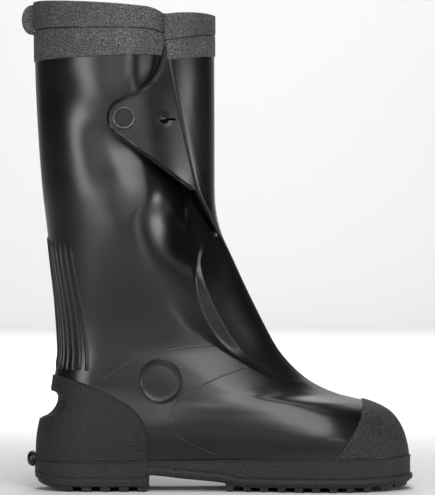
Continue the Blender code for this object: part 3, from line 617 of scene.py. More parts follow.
    def surface(
        self, level: Array, angle: Array, lift: Array | float = 0.0, layer: Layer = Layer.WALL
    ) -> Array:
        """Points on one sheet of the upper, or lifted away from it.

        Args:
            level: Levels of the places.
            angle: Angles of the places.
            lift: How far to go out of the sheet.
            layer: The sheet.

        Returns:
            An array of x, y and z.
        """
        level, angle = np.broadcast_arrays(np.asarray(level, float), np.asarray(angle, float))

        def at(up: float, round_by: float) -> Array:
            """The smooth sheet a small step away."""
            return self.raised(level + up, self.flat(level + up, angle + round_by, layer))

        across = at(0.0, -self.angle_step) - at(0.0, self.angle_step)
        upward = at(self.level_step, 0.0) - at(-self.level_step, 0.0)
        base = at(0.0, 0.0)
        out = units(np.cross(across, upward))
        return base + out * (lift + self.relief(base, level, angle, layer))[..., None]

    def angle_at(self, level: Array | float, x: Array | float) -> Array:
        """Angle on the outer side at which a level passes a length.

        Args:
            level: The levels.
            x: The lengths.

        Returns:
            The angles.
        """
        s = self.section(level)
        cosine = (2.0 * x - s.front_x - s.back_x) / (s.front_x - s.back_x)
        return np.degrees(np.arccos(np.clip(cosine, -1.0, 1.0)))

    def place(self, x: Array, z: Array) -> tuple[Array, Array]:
        """Level and angle of the outer wall at side view places.

        Args:
            x: Lengths of the places.
            z: Heights of the places.

        Returns:
            The levels and the angles.
        """
        x, z = np.broadcast_arrays(np.asarray(x, float), np.asarray(z, float))
        low, high = np.zeros(x.shape), np.full(x.shape, float(Level.COLLAR))
        for _ in range(self.halvings):
            level = (low + high) / 2.0
            under = self.height(level, x) < z
            low, high = np.where(under, level, low), np.where(under, high, level)
        return level, self.angle_at(level, x)

    def edge_angle(self, level: Array, rows: Sequence[Edge]) -> Array:
        """Angle at which each level meets a side view edge.

        Args:
            level: The levels.
            rows: The edge.

        Returns:
            The angles on the outer side.
        """
        x = np.full(np.shape(level), rows[0].x)
        for _ in range(self.halvings):
            x = along(rows, "z", "x", self.height(level, x))
        return self.angle_at(level, x)

    def fold_turns(self, level: float, counts: Counts) -> Array:
        """Plan of the fold: its inner turn, its middle layer and its outer turn.

        Args:
            level: The level.
            counts: How many points each stretch has.

        Returns:
            An array of x and y.
        """
        f = self.fold(level)
        way_in, way_out = self.tangent(level, f.valley), self.tangent(level, f.ridge)
        inner = self.plan(level, f.valley) - f.depth * right_of(way_in)
        outer = self.plan(level, f.ridge) - self.ridge_radius * right_of(way_out)
        reach = outer - inner
        cross = math.asin(min(1.0, (self.ridge_radius + f.radius) / np.linalg.norm(reach)))
        straight = turned(units(reach), -cross)
        overlap = float(ease((f.ridge - f.valley) / self.full_overlap))

        def turn_between(a: Array, b: Array) -> float:
            """Angle from one plan direction to another, to the left."""
            return math.atan2(a[0] * b[1] - a[1] * b[0], float(np.dot(a, b)))

        right_turn = turn_between(way_in, straight)
        if right_turn > 0.0:
            right_turn = right_turn - 2.0 * math.pi if right_turn > math.pi / 2.0 else 0.0
        right_turn += (-math.pi - right_turn) * overlap
        heading = turned(straight, math.radians(self.keel_lean) * (1.0 - overlap))
        left_turn = turn_between(heading, way_out) % (2.0 * math.pi)
        left_turn += (math.pi - left_turn) * overlap
        steps_in = np.linspace(0.0, right_turn, counts.valley + 1)[1:]
        steps_out = np.linspace(left_turn, 0.0, counts.ridge + 1)[:-1]
        turn_in = inner - f.radius * right_of(turned(way_in, steps_in))
        turn_out = outer + self.ridge_radius * right_of(turned(way_out, -steps_out))

        share = np.linspace(0.0, 1.0, counts.middle + 2)[1:-1]
        angle = f.valley + (f.ridge - f.valley) * share
        depth = (f.depth - f.radius) + (2.0 * self.ridge_radius - f.depth + f.radius) * share
        middle = self.plan(level, angle) - right_of(self.tangent(level, angle)) * depth[:, None]
        pleat = np.concatenate([turn_in, middle])
        start = inner - f.radius * right_of(way_in)
        pull = self.keel_ease * np.linalg.norm(turn_out[0] - start)
        corners = (start, start + way_in * pull, turn_out[0] - heading * pull, turn_out[0])
        t = np.linspace(0.0, 1.0, len(pleat) + 2)[1:-1, None]
        weights = ((1.0 - t) ** 3, 3.0 * t * (1.0 - t) ** 2, 3.0 * t**2 * (1.0 - t), t**3)
        keel = sum(weight * corner for weight, corner in zip(weights, corners))
        folded = np.concatenate([keel + (pleat - keel) * overlap, turn_out])
        angles = np.linspace(f.valley, f.ridge, len(folded) + 2)[1:-1]
        plain = self.plan(level, angles)
        return plain + (folded - plain) * f.share

    def ring(self, level: float, counts: Counts) -> tuple[Array, Array, Array]:
        """One closed ring of the upper: outer wall, fold, then the panel round to the back.

        Args:
            level: The level.
            counts: How many points each stretch has.

        Returns:
            The points, the angles of the outer wall and the angles of the panel.
        """
        f = self.fold(level)
        near = np.linspace(180.0, f.dip_start, counts.near, endpoint=False)
        wall = np.concatenate([near, np.linspace(f.dip_start, f.valley, counts.dip)])
        share = np.linspace(0.0, 1.0, counts.far + 1)[:-1] ** self.far_spread
        panel = f.ridge - (f.ridge + 180.0) * share
        outside = self.flat(np.full(wall.shape, level), wall, Layer.WALL)
        flat = np.concatenate([outside, self.fold_turns(level, counts), self.plan(level, panel)])
        return self.raised(np.full(len(flat), level), flat), wall, panel


def outward(grid: Array) -> Array:
    """Outward directions on a stack of closed rings.

    Args:
        grid: The rings, from the lowest up.

    Returns:
        A direction for each point.
    """
    around = units(np.roll(grid, -1, axis=1) - grid) + units(grid - np.roll(grid, 1, axis=1))
    rise = units(np.diff(grid, axis=0))
    upward = np.concatenate([rise[:1], rise[1:] + rise[:-1], rise[-1:]])
    return units(np.cross(around, upward))


class Skin:
    """The dense outside of the upper as rings of points, with its outward directions."""

    def __init__(self, form: Form, counts: Counts, levels: Array) -> None:
        """Works out every ring once.

        Args:
            form: The form of the upper.
            counts: How many points each stretch of a ring has.
            levels: The levels of the rings.
        """
        self.counts = counts
        self.levels = levels
        rings = [form.ring(float(level), counts) for level in levels]
        points = self.blended(np.stack([ring[0] for ring in rings]), levels)
        near, far = counts.near + counts.dip, counts.far
        rows = levels[:, None]
        lift = np.zeros(points.shape[:2])
        wall, panel = np.stack([ring[1] for ring in rings]), np.stack([ring[2] for ring in rings])
        lift[:, :near] = form.relief(points[:, :near], rows, wall, Layer.WALL)
        lift[:, -far:] = form.relief(points[:, -far:], rows, panel, Layer.PANEL)
        self.points = points + lift[..., None] * outward(points)
        self.out = outward(self.points)

    @staticmethod
    def blended(points: Array, levels: Array) -> Array:
        """Rings blended with those over and under them, so that no row of the tables shows as a line.

        Args:
            points: The rings.
            levels: Their levels.

        Returns:
            The rings, with the lower part of the foot and the collar as they were.
        """
        away = levels[:, None] - levels[None, :]
        share = np.exp(-((away / BLEND_LEVELS) ** 2))
        blend = np.einsum("ij,jkl->ikl", share / share.sum(axis=1, keepdims=True), points)
        part = ease(levels - Level.ANKLE) * ease((Level.BAND - levels) / 2.0)
        return points + (blend - points) * part[:, None, None]

    def between(self, levels: Array, columns: Array, lift: Array) -> Array:
        """Points at levels between the rings.

        Args:
            levels: Levels as rows and columns.
            columns: The ring's points that the columns follow.
            lift: How far to go out of the upper, as rows and columns.

        Returns:
            An array of x, y and z as rows and columns.
        """
        low = np.clip(np.searchsorted(self.levels, levels, side="right") - 1, 0, len(self.levels) - 2)
        share = ((levels - self.levels[low]) / (self.levels[low + 1] - self.levels[low]))[..., None]
        points = self.points[low, columns] * (1.0 - share) + self.points[low + 1, columns] * share
        out = units(self.out[low, columns] * (1.0 - share) + self.out[low + 1, columns] * share)
        return points + lift[..., None] * out


class NodeSheet:
    """Lays out the nodes of one material."""

    def __init__(self, name: str) -> None:
        """Starts a material with its shader and object coordinates.

        Args:
            name: The name of the material.
        """
        self.material = bpy.data.materials.new(name)
        self.material.use_nodes = True
        self.tree = self.material.node_tree
        self.shader = self.tree.nodes["Principled BSDF"]
        self.coordinates = self.tree.nodes.new("ShaderNodeTexCoord").outputs["Object"]

    def give(self, socket: NodeSocket, value: object) -> None:
        """Links an output to a socket, or sets the socket to a number or a colour.

        Args:
            socket: The socket.
            value: The output, number or colour.
        """
        if isinstance(value, NodeSocket):
            self.tree.links.new(value, socket)
        else:
            socket.default_value = value

    def set(self, socket: str, value: object) -> None:
        """Gives one of the shader's sockets a number, a colour or an output."""
        self.give(self.shader.inputs[socket], value)

    def node(self, kind: str, inputs: dict[str | int, object]) -> Node:
        """Adds a node.

        Args:
            kind: Its type.
            inputs: What its sockets get, by their names or numbers.

        Returns:
            The node.
        """
        node = self.tree.nodes.new(kind)
        for socket, value in inputs.items():
            self.give(node.inputs[socket], value)
        return node

    def axis(self, name: str) -> NodeSocket:
        """One of the object coordinates, by the name of its axis."""
        return self.node("ShaderNodeSeparateXYZ", {"Vector": self.coordinates}).outputs[name]

    def noise(self, size_mm: float, detail: float) -> NodeSocket:
        """A cloudy pattern, by the size of its largest spots and how much finer structure it has."""
        inputs = {"Vector": self.coordinates, "Scale": 1.0 / (size_mm * MM), "Detail": detail}
        return self.node("ShaderNodeTexNoise", inputs).outputs["Fac"]

    def cells(self, size_mm: float, smoothness: float = 0.6) -> NodeSocket:
        """A pattern of rounded pebbles.

        Args:
            size_mm: Size of a pebble.
            smoothness: How softly the pebbles meet.

        Returns:
            The output that holds the distance from the middle of a pebble.
        """
        inputs = {"Vector": self.coordinates, "Scale": 1.0 / (size_mm * MM)}
        node = self.node("ShaderNodeTexVoronoi", inputs)
        node.feature = "SMOOTH_F1"
        self.give(node.inputs["Smoothness"], smoothness)
        return node.outputs["Distance"]

    def remap(
        self, value: NodeSocket, low: float, high: float, to_low: float, to_high: float
    ) -> NodeSocket:
        """Carries a range of a value over to another range, and holds it there."""
        inputs = {"Value": value, "From Min": low, "From Max": high, "To Min": to_low, "To Max": to_high}
        return self.node("ShaderNodeMapRange", inputs).outputs["Result"]

    def joined(self, operation: str, first: NodeSocket, second: NodeSocket | float) -> NodeSocket:
        """Two values joined by an operation.

        Args:
            operation: The operation, such as ADD or MULTIPLY.
            first: An output.
            second: Another output, or a number.

        Returns:
            The output that holds the result.
        """
        node = self.node("ShaderNodeMath", {0: first, 1: second})
        node.operation = operation
        return node.outputs["Value"]

    def tinted(self, mask: NodeSocket, low: Colour, high: Colour) -> NodeSocket:
        """A colour that goes from one to another with a mask.

        Args:
            mask: The output that holds the mask.
            low: The colour where it is 0.
            high: The colour where it is 1.

        Returns:
            The output that holds the colour.
        """
        node = self.node("ShaderNodeMix", {"Factor": mask, 6: (*low, 1.0), 7: (*high, 1.0)})
        node.data_type = "RGBA"
        return node.outputs[2]

    def bump(
        self, height: NodeSocket, depth_mm: float, strength: float, under: NodeSocket | None = None
    ) -> NodeSocket:
        """A relief too fine to model.

        Args:
            height: The output that holds its height, from 0 to 1.
            depth_mm: The height that 1 stands for.
            strength: How much of it shows.
            under: Another relief that it lies on.

        Returns:
            The output that holds the normal.
        """
        inputs = {"Strength": strength, "Distance": depth_mm * MM, "Height": height}
        if under is not None:
            inputs["Normal"] = under
        return self.node("ShaderNodeBump", inputs).outputs["Normal"]


@dataclass(frozen=True)
class SmoothPvc:
    """Glossy black PVC as it comes from a polished mould, with a little haze and dust; where its colours are
    set lighter, as for the button rim and the style lines, they are a painted highlight.
    """

    name: str
    black: Colour = (0.0028, 0.0028, 0.003)
    haze_and_sheen: Colour = (0.0052, 0.0052, 0.0052)
    gloss: float = 0.28
    dull: float = 0.33
    ior: float = 1.5
    cloud_mm: float = 46.0
    ripple_mm: float = 5.0
    ripple_depth_mm: float = 0.03
    speck_mm: float = 0.9
    speck_depth_mm: float = 0.012
    pocket: Point = Point(-22.0, 226.0)
    pocket_half: Point = Point(22.0, 44.0)
    pocket_share: float = 0.5
    pocket_core: float = 0.1
    pocket_rim: float = 2.2
    pocket_reach: float = 2.0
    bump_share: float = 0.5

    def handled(self, sheet: NodeSheet) -> NodeSocket:
        """Share of the roughness that is left, lower in the pocket of the fold that nothing rubs.

        Args:
            sheet: The nodes of the material.

        Returns:
            The output that holds the share.
        """
        squares, reach, half = [], self.pocket_reach, self.pocket_half
        for axis, middle, size in (("X", self.pocket.x, half.x), ("Z", self.pocket.z, half.z)):
            low, high = (middle - reach * size) * MM, (middle + reach * size) * MM
            away = sheet.remap(sheet.axis(axis), low, high, -reach, reach)
            squares.append(sheet.joined("POWER", sheet.joined("ABSOLUTE", away, 0.0), 2.0))
        apart = sheet.joined("ADD", squares[0], squares[1])
        return sheet.remap(apart, self.pocket_core, self.pocket_rim, self.pocket_share, 1.0)

    def material(self) -> Material:
        """Makes the material.

        Returns:
            The material, with its nodes.
        """
        sheet = NodeSheet(self.name)
        cloud = sheet.noise(self.cloud_mm, 4.0)
        sheet.set("Base Color", sheet.tinted(sheet.remap(cloud, 0.45, 0.75, 0.0, 1.0), self.black, self.haze_and_sheen))
        rough = sheet.remap(cloud, 0.3, 0.7, self.gloss, self.dull)
        sheet.set("Roughness", sheet.joined("MULTIPLY", rough, self.handled(sheet)))
        sheet.set("IOR", self.ior)
        ripple = sheet.bump(sheet.noise(self.ripple_mm, 1.0), self.ripple_depth_mm, self.bump_share)
        specks = sheet.noise(self.speck_mm, 2.0)
        sheet.set("Normal", sheet.bump(specks, self.speck_depth_mm, self.bump_share, ripple))
        return sheet.material


@dataclass(frozen=True)
class GrainedPvc:
    """Dark grey PVC with a pebbled grain, lighter on the tops of the pebbles: partly wear, partly a painted
    glint.
    """

    name: str
    dark: Colour = (0.002, 0.002, 0.0021)
    worn_and_glint: Colour = (0.034, 0.035, 0.034)
    gloss: float = 0.46
    dull: float = 0.68
    pebble_mm: float = 1.25
    pebble_depth_mm: float = 0.7
    pit_mm: float = 0.6
    pit_depth_mm: float = 0.1
    cloud_mm: float = 24.0
    pebble_edge: float = 0.62
    grain_share: float = 0.9
    pit_share: float = 0.6
    least_top_share: float = 0.45

    def material(self) -> Material:
        """Makes the material.

        Returns:
            The material, with its nodes.
        """
        sheet = NodeSheet(self.name)
        pebbles = sheet.remap(sheet.cells(self.pebble_mm), 0.0, self.pebble_edge, 1.0, 0.0)
        cloud = sheet.remap(sheet.noise(self.cloud_mm, 3.0), 0.3, 0.7, self.least_top_share, 1.0)
        # The pebble tops are lighter: partly wear, partly a painted glint on the tops.
        tops = sheet.joined("MULTIPLY", sheet.remap(pebbles, 0.12, 0.8, 0.0, 1.0), cloud)
        sheet.set("Base Color", sheet.tinted(tops, self.dark, self.worn_and_glint))
        sheet.set("Roughness", sheet.remap(pebbles, 0.2, 0.9, self.dull, self.gloss))
        grain = sheet.bump(pebbles, self.pebble_depth_mm, self.grain_share)
        pits = sheet.noise(self.pit_mm, 2.0)
        sheet.set("Normal", sheet.bump(pits, self.pit_depth_mm, self.pit_share, grain))
        return sheet.material


@dataclass(frozen=True)
class StudioPaper:
    """Plain pale paper that the overshoe stands on."""

    name: str
    pale: Colour = (0.74, 0.74, 0.74)
    mottle: Colour = (0.72, 0.72, 0.72)
    fibre_mm: float = 3.0

    def material(self) -> Material:
        """Makes the material.

        Returns:
            The material, with its nodes.
        """
        sheet = NodeSheet(self.name)
        fibre = sheet.noise(self.fibre_mm, 3.0)
        sheet.set("Base Color", sheet.tinted(fibre, self.pale, self.mottle))
        sheet.set("Roughness", sheet.remap(fibre, 0.3, 0.7, 0.85, 0.95))
        sheet.set("Specular IOR Level", 0.1)
        return sheet.material


Finish = SmoothPvc | GrainedPvc | StudioPaper
CRISP_DEG = 40.0
SHAFT_PVC = SmoothPvc("shaft_pvc")
FLAP_PVC = SmoothPvc("flap_pvc", gloss=0.3, dull=0.38, ior=1.44)
TRIM_PVC = SmoothPvc("trim_pvc", gloss=0.3, dull=0.4, cloud_mm=20.0)
# The style lines' finish is set lighter than the black PVC: a painted highlight along the raised lines.
LINE_HIGHLIGHT_PVC = SmoothPvc("line_pvc_painted_highlight", black=(0.02, 0.02, 0.02), haze_and_sheen=(0.05, 0.05, 0.05), gloss=0.26, dull=0.32)
# The collar grain's pebble tops are set far lighter: mostly a painted glint on the pebbles, with some wear.
COLLAR_GRAIN = GrainedPvc("collar_grain", dark=(0.025, 0.025, 0.025), worn_and_glint=(0.2, 0.2, 0.196), pebble_mm=1.2)
TOE_GRAIN = GrainedPvc("toe_grain", worn_and_glint=(0.064, 0.064, 0.063))
HEEL_GRAIN = GrainedPvc("heel_grain", worn_and_glint=(0.014, 0.0145, 0.014))
SOLE_GRAIN = GrainedPvc("sole_grain", worn_and_glint=(0.017, 0.0175, 0.017), pebble_mm=1.3, pebble_depth_mm=0.3)
# The button rim's finish is set lighter than the black PVC: a painted highlight on the rim.
RIM_HIGHLIGHT_PVC = SmoothPvc(
    "rim_painted_highlight", black=(0.05, 0.05, 0.05), haze_and_sheen=(0.16, 0.16, 0.158), gloss=0.2, dull=0.3, cloud_mm=7.0
)
STIPPLE = GrainedPvc("button_stipple", dark=(0.001, 0.001, 0.001), worn_and_glint=(0.03, 0.03, 0.03), pebble_mm=1.3)


class Solid:
    """Points in millimetres and faces of one piece."""

    def __init__(self) -> None:
        """Starts with nothing."""
        self.points: list[Array] = []
        self.faces: list[tuple[int, ...]] = []
        self.finish_of: list[int] = []
        self.count = 0

    def add(self, points: Array) -> Array:
        """Adds points.

        Args:
            points: Points in any rows and columns.

        Returns:
            Their numbers in the same rows and columns.
        """
        flat = np.reshape(points, (-1, 3))
        self.points.append(flat)
        self.count += len(flat)
        return np.arange(self.count - len(flat), self.count).reshape(np.shape(points)[:-1])

    def face(self, corners: Sequence[int], finish: int = 0) -> None:
        """Adds one face."""
        self.faces.append(tuple(int(c) for c in corners))
        self.finish_of.append(finish)

    def cover(self, numbers: Array, closed: bool = False, finish: int = 0) -> None:
        """Covers a grid with faces.

        Args:
            numbers: The numbers of its points.
            closed: Whether its last column joins its first.
            finish: Which of the piece's finishes the faces wear.
        """
        wide = np.concatenate([numbers, numbers[:, :1]], axis=1) if closed else numbers
        quads = np.stack([wide[:-1, :-1], wide[:-1, 1:], wide[1:, 1:], wide[1:, :-1]], axis=-1).reshape(-1, 4)
        self.faces.extend(map(tuple, quads.tolist()))
        self.finish_of.extend([finish] * len(quads))

    def sheet(self, inner: Array, outer: Array) -> None:
        """Adds a closed piece between two grids of the same size.

        Args:
            inner: Points of its inner face.
            outer: Points of its outer face.
        """
        inside, outside = self.add(inner), self.add(outer)
        self.cover(inside)
        self.cover(outside)
        self.cover(np.stack([self.border(inside), self.border(outside)]), closed=True)

    def loft(self, rows: Array, finish: int = 0) -> None:
        """Adds a closed body through a stack of closed outlines, with flat ends.

        Args:
            rows: The outlines.
            finish: Which of the piece's finishes the body wears.
        """
        numbers = self.add(rows)
        self.cover(numbers, closed=True, finish=finish)
        self.face(numbers[0], finish)
        self.face(numbers[-1], finish)

    @staticmethod
    def border(numbers: Array) -> Array:
        """The numbers round the edge of a grid, in order."""
        return np.concatenate([numbers[0, :-1], numbers[:-1, -1], numbers[-1, :0:-1], numbers[:0:-1, 0]])

    def make(self, name: str, finishes: Sequence[Finish], crisp_deg: float = CRISP_DEG) -> Object:
        """Makes the object.

        Args:
            name: Its name.
            finishes: The finishes that its faces wear.
            crisp_deg: The angle from which an edge is drawn crisp.

        Returns:
            The object, in the scene.
        """
        mesh = bpy.data.meshes.new(name)
        mesh.from_pydata((np.concatenate(self.points) * MM).tolist(), [], self.faces)
        for finish in finishes:
            mesh.materials.append(finish.material())
        mesh.polygons.foreach_set("material_index", self.finish_of)
        bm = bmesh.new()
        bm.from_mesh(mesh)
        bmesh.ops.remove_doubles(bm, verts=bm.verts, dist=1e-7)
        bmesh.ops.recalc_face_normals(bm, faces=bm.faces)
        bm.to_mesh(mesh)
        bm.free()
        mesh.shade_smooth()
        mesh.set_sharp_from_angle(angle=math.radians(crisp_deg))
        obj = bpy.data.objects.new(name, mesh)
        bpy.context.scene.collection.objects.link(obj)
        return obj


def settle_piece(obj: Object, nodes: Sequence[str]) -> Object:
    """Puts a piece on its body in place of its solids.

    Args:
        obj: The piece.
        nodes: The solids it stands for.

    Returns:
        The piece.
    """
    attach(obj, BODY)
    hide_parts(*nodes)
    log.info("%s: %d faces, stands for %s", obj.name, len(obj.data.polygons), ", ".join(nodes))
    return obj


def to_border(points: Array, border: Array) -> Array:
    """Distance of each point from a line of points.

    Args:
        points: The points, as rows and columns.
        border: The line, close enough together to stand for it.

    Returns:
        The distances, as rows and columns.
    """
    tree = KDTree(len(border))
    for number, point in enumerate(border):
        tree.insert(Vector(point), number)
    tree.balance()
    flat = [tree.find(Vector(point))[2] for point in points.reshape(-1, 3)]
    return np.array(flat).reshape(points.shape[:-1])


def densely(points: Array, parts: int) -> Array:
    """A line of points with each step cut into parts."""
    share = np.arange(parts)[None, :, None] / parts
    return (points[:-1, None] * (1.0 - share) + points[1:, None] * share).reshape(-1, 3)


@dataclass(frozen=True)
class Upper:
    """The hollow upper: foot, ankle, shaft and the pleat at its front."""

    wall: float = 1.9
    top_round: float = 0.5
    inside_step: int = 2

    def build(self, skin: Skin) -> Object:
        """Builds the wall from the dense rings, open at the collar and underneath.

        Args:
            skin: The outside of the upper.

        Returns:
            The piece.
        """
        solid = Solid()
        rows = np.unique(np.append(np.arange(0, len(skin.levels), self.inside_step), len(skin.levels) - 1))
        inside_points = (skin.points - self.wall * skin.out)[rows]
        middle = (skin.points[-1] + inside_points[-1]) / 2.0 + np.array([0.0, 0.0, self.top_round])
        outside, inside = solid.add(skin.points), solid.add(inside_points)
        top = solid.add(middle)
        solid.cover(outside, closed=True)
        solid.cover(inside, closed=True)
        solid.cover(np.stack([outside[0], inside[0]]), closed=True)
        solid.cover(np.stack([outside[-1], top, inside[-1]]), closed=True)
        obj = solid.make("upper_shell", [SHAFT_PVC], crisp_deg=62.0)
        return settle_piece(obj, ["upper"])


@dataclass(frozen=True)
class CollarBand:
    """The grained band round the collar, in two tiers with a fine line between them."""

    lift: float = 0.15
    thickness: float = 0.75
    upper_tier: float = 0.2
    edge_reach: float = 0.7
    line_width: float = 0.45
    line_depth: float = 0.9
    wall_tier: float = 13.53
    ridge_tier: float = 13.38
    front_tier: float = 13.5
    ridge_low: float = 12.93
    dip_share: float = 0.56
    front_share: float = 0.3
    settle_share: float = 0.62
    tier_height: float = 25.0
    edge_steps: tuple[float, ...] = (0.0, 0.15, 0.4, 0.8, 1.4)
    line_steps: tuple[float, ...] = (0.9, 0.45, 0.2)
    past_line: float = 1.6
    under_top: float = 0.6
    top_edge: float = 0.15
    tier_run: float = 0.8
    rows: int = 15

    def levels(self, skin: Skin, columns: Array) -> tuple[Array, Array]:
        """Levels of the lower edge and of the line between the tiers, for each column.

        Args:
            skin: The outside of the upper.
            columns: The ring's points that the columns follow.

        Returns:
            The lower edge's levels and the line's levels.
        """
        far = skin.counts.far
        start, run = skin.points.shape[1] - far, self.front_share * far
        on_panel = columns >= start
        share = np.clip((columns - start) / run, 0.0, 1.0)
        panel_tier = self.ridge_tier + (self.front_tier - self.ridge_tier) * ease(share)
        settle = ease((columns - self.settle_share * far - start) / run)
        panel_tier = panel_tier + (self.wall_tier - panel_tier) * settle
        panel_low = self.ridge_low + (Level.BAND - self.ridge_low) * ease(share)
        fold = (columns < start) & (columns >= start - skin.counts.ridge)
        tier = np.where(on_panel, panel_tier, np.where(fold, self.ridge_tier, self.wall_tier))
        return np.where(on_panel, panel_low, np.where(fold, self.ridge_low, float(Level.BAND))), tier

    def build(self, skin: Skin) -> Object:
        """Builds the band from the fold's outer turn round the back to where the wall goes under the fold.

        Args:
            skin: The outside of the upper.

        Returns:
            The piece.
        """
        counts, count = skin.counts, skin.points.shape[1]
        first = count - counts.far - counts.ridge // 2
        last = count + counts.near + int(self.dip_share * counts.dip)
        columns = np.arange(first, last) % count
        low, tier = self.levels(skin, columns)
        tall = 2.0 * self.tier_height
        lower = lipped(self.rows, self.tier_height, self.edge_steps, True, False) * 0.5
        fine = np.array(self.line_steps) / tall
        plain = np.linspace(self.past_line / tall, 0.5 - self.under_top / tall, self.rows)
        upper = 0.5 + np.concatenate([fine[::-1], plain, [0.5]])
        share = np.concatenate([lower[:-1], 0.5 - fine, [0.5], upper])[:, None]
        share = np.sort(share, axis=0)
        under = low + (tier - low) * share / 0.5
        over = tier + (Level.COLLAR - tier) * (share - 0.5) / 0.5
        levels = np.minimum(np.where(share < 0.5, under, over), float(Level.COLLAR))
        bare = skin.between(levels, columns, np.zeros(levels.shape))
        run = run_of(bare)
        line = int(np.argmin(np.abs(share - 0.5)))
        from_line = run - run[line]
        ends = lip(run, self.edge_reach) * lip(run[-1] - run + self.top_edge, self.edge_reach)
        depth = self.thickness * ends + self.upper_tier * ease(from_line / self.tier_run)
        depth = depth - self.line_depth * np.exp(-((from_line / self.line_width) ** 2))
        solid = Solid()
        outer = skin.between(levels, columns, self.lift + np.maximum(depth, 0.0))
        solid.sheet(skin.between(levels, columns, np.full(levels.shape, self.lift - BED)), outer)
        wide, high = len(columns) - 1, len(share) - 1
        # Rows 0 and 1 at the lower edge and the rows along the line between the tiers wear the black trim
        # finish: a painted shadow under the band's lower lip and painted shade in the groove between the
        # tiers.
        for row in (0, 1, line - 2, line - 1, line, line + 1):
            first_face = (high + row) * wide
            solid.finish_of[first_face : first_face + wide] = [1] * wide
        obj = solid.make("collar_trim", [COLLAR_GRAIN, TRIM_PVC])
        return settle_piece(obj, ["collar_band"])


@dataclass(frozen=True)
class ToeCap:
    """The grained cap over the toe."""

    edge: tuple[Edge, ...] = edge_of(
        (25.0, 96.0), (37.5, 109.0), (51.0, 117.6), (61.0, 123.5), (71.0, 127.0), (78.2, 128.5)
    )
    bottom: float = 1.045
    edge_rise: float = 0.01
    lift: float = 0.1
    thickness: float = 1.15
    edge_reach: float = 1.0
    edge_start: float = 0.2
    tall: float = 55.0
    edge_steps: tuple[float, ...] = (0.0, 0.12, 0.3, 0.55, 0.9, 1.5)
    bed: float = 0.05
    columns: int = 44
    rows: int = 40

    def build(self, form: Form) -> Object:
        """Builds the cap in columns that run from the sole up to its edge.

        Args:
            form: The form of the upper.

        Returns:
            The piece.
        """
        levels = np.linspace(Level.RIM, Level.LIP, 400)
        top = float(np.interp(-self.edge[-1].x, -form.section(levels).front_x, levels))
        share = np.linspace(0.0, 1.0, self.columns)
        low = self.bottom + self.edge_rise
        edge_level = low + (top - low) * (1.0 - (1.0 - share) ** 2)
        edge_angle = form.edge_angle(edge_level, self.edge)
        edge_angle[-1] = 0.0
        high = np.concatenate([edge_level, edge_level[-2::-1]])
        angle = np.concatenate([edge_angle, -edge_angle[-2::-1]])
        rise = lipped(self.rows, self.tall, self.edge_steps, False, True)[:, None]
        level = self.bottom + (high - self.bottom) * rise
        angles = np.broadcast_to(angle, level.shape)
        outside = form.surface(level, angles, self.lift)
        away = to_border(outside, densely(outside[-1], 6))
        depth = self.thickness * edged(away, self.edge_reach, self.edge_start)
        solid = Solid()
        inside = form.surface(level, angles, self.lift - self.bed)
        solid.sheet(inside, form.surface(level, angles, self.lift + depth))
        obj = solid.make("toe_guard", [TOE_GRAIN])
        return settle_piece(obj, ["toe_cap"])


@dataclass(frozen=True)
class HeelCounter:
    """The grained counter round the heel, with the kick-off ledge and the scoop over it."""

    edge: tuple[Edge, ...] = edge_of(
        (26.0, -60.0), (46.6, -60.5), (59.0, -64.0), (73.0, -74.5), (85.0, -94.0), (94.5, -116.5),
        (101.5, -138.0)
    )
    bottom: float = 1.045
    top: float = 5.83
    lift: float = 0.1
    thickness: float = 1.6
    bead: float = 0.4
    edge_reach: float = 1.2
    edge_start: float = 0.2
    bead_at: float = 0.9
    bead_width: float = 0.5
    tall: float = 76.0
    wide: float = 150.0
    edge_steps: tuple[float, ...] = (0.0, 0.2, 0.5, 0.9, 1.5)
    bed: float = 0.05
    columns: int = 96
    rows: int = 96

    def build(self, form: Form) -> Object:
        """Builds the counter in rows that run from its outer edge round the back to its inner edge.

        Args:
            form: The form of the upper.

        Returns:
            The piece.
        """
        rise = lipped(self.rows, self.tall, self.edge_steps, False, True)
        level = self.bottom + (self.top - self.bottom) * rise
        start = form.edge_angle(level, self.edge)[:, None]
        share = lipped(self.columns, self.wide, self.edge_steps, True, True)[None, :]
        angles = start + (360.0 - 2.0 * start) * share
        levels = np.broadcast_to(level[:, None], angles.shape)
        outside = form.surface(levels, angles, self.lift)
        edge = np.concatenate([outside[:, 0], outside[-1, 1:-1], outside[::-1, -1]])
        away = to_border(outside, densely(edge, 6))
        depth = self.thickness * edged(away, self.edge_reach, self.edge_start)
        depth = depth + self.bead * np.exp(-(((away - self.bead_at) / self.bead_width) ** 2))
        solid = Solid()
        inside = form.surface(levels, angles, self.lift - self.bed)
        solid.sheet(inside, form.surface(levels, angles, self.lift + depth))
        obj = solid.make("heel_guard", [HEEL_GRAIN])
        return settle_piece(obj, ["heel_counter"])


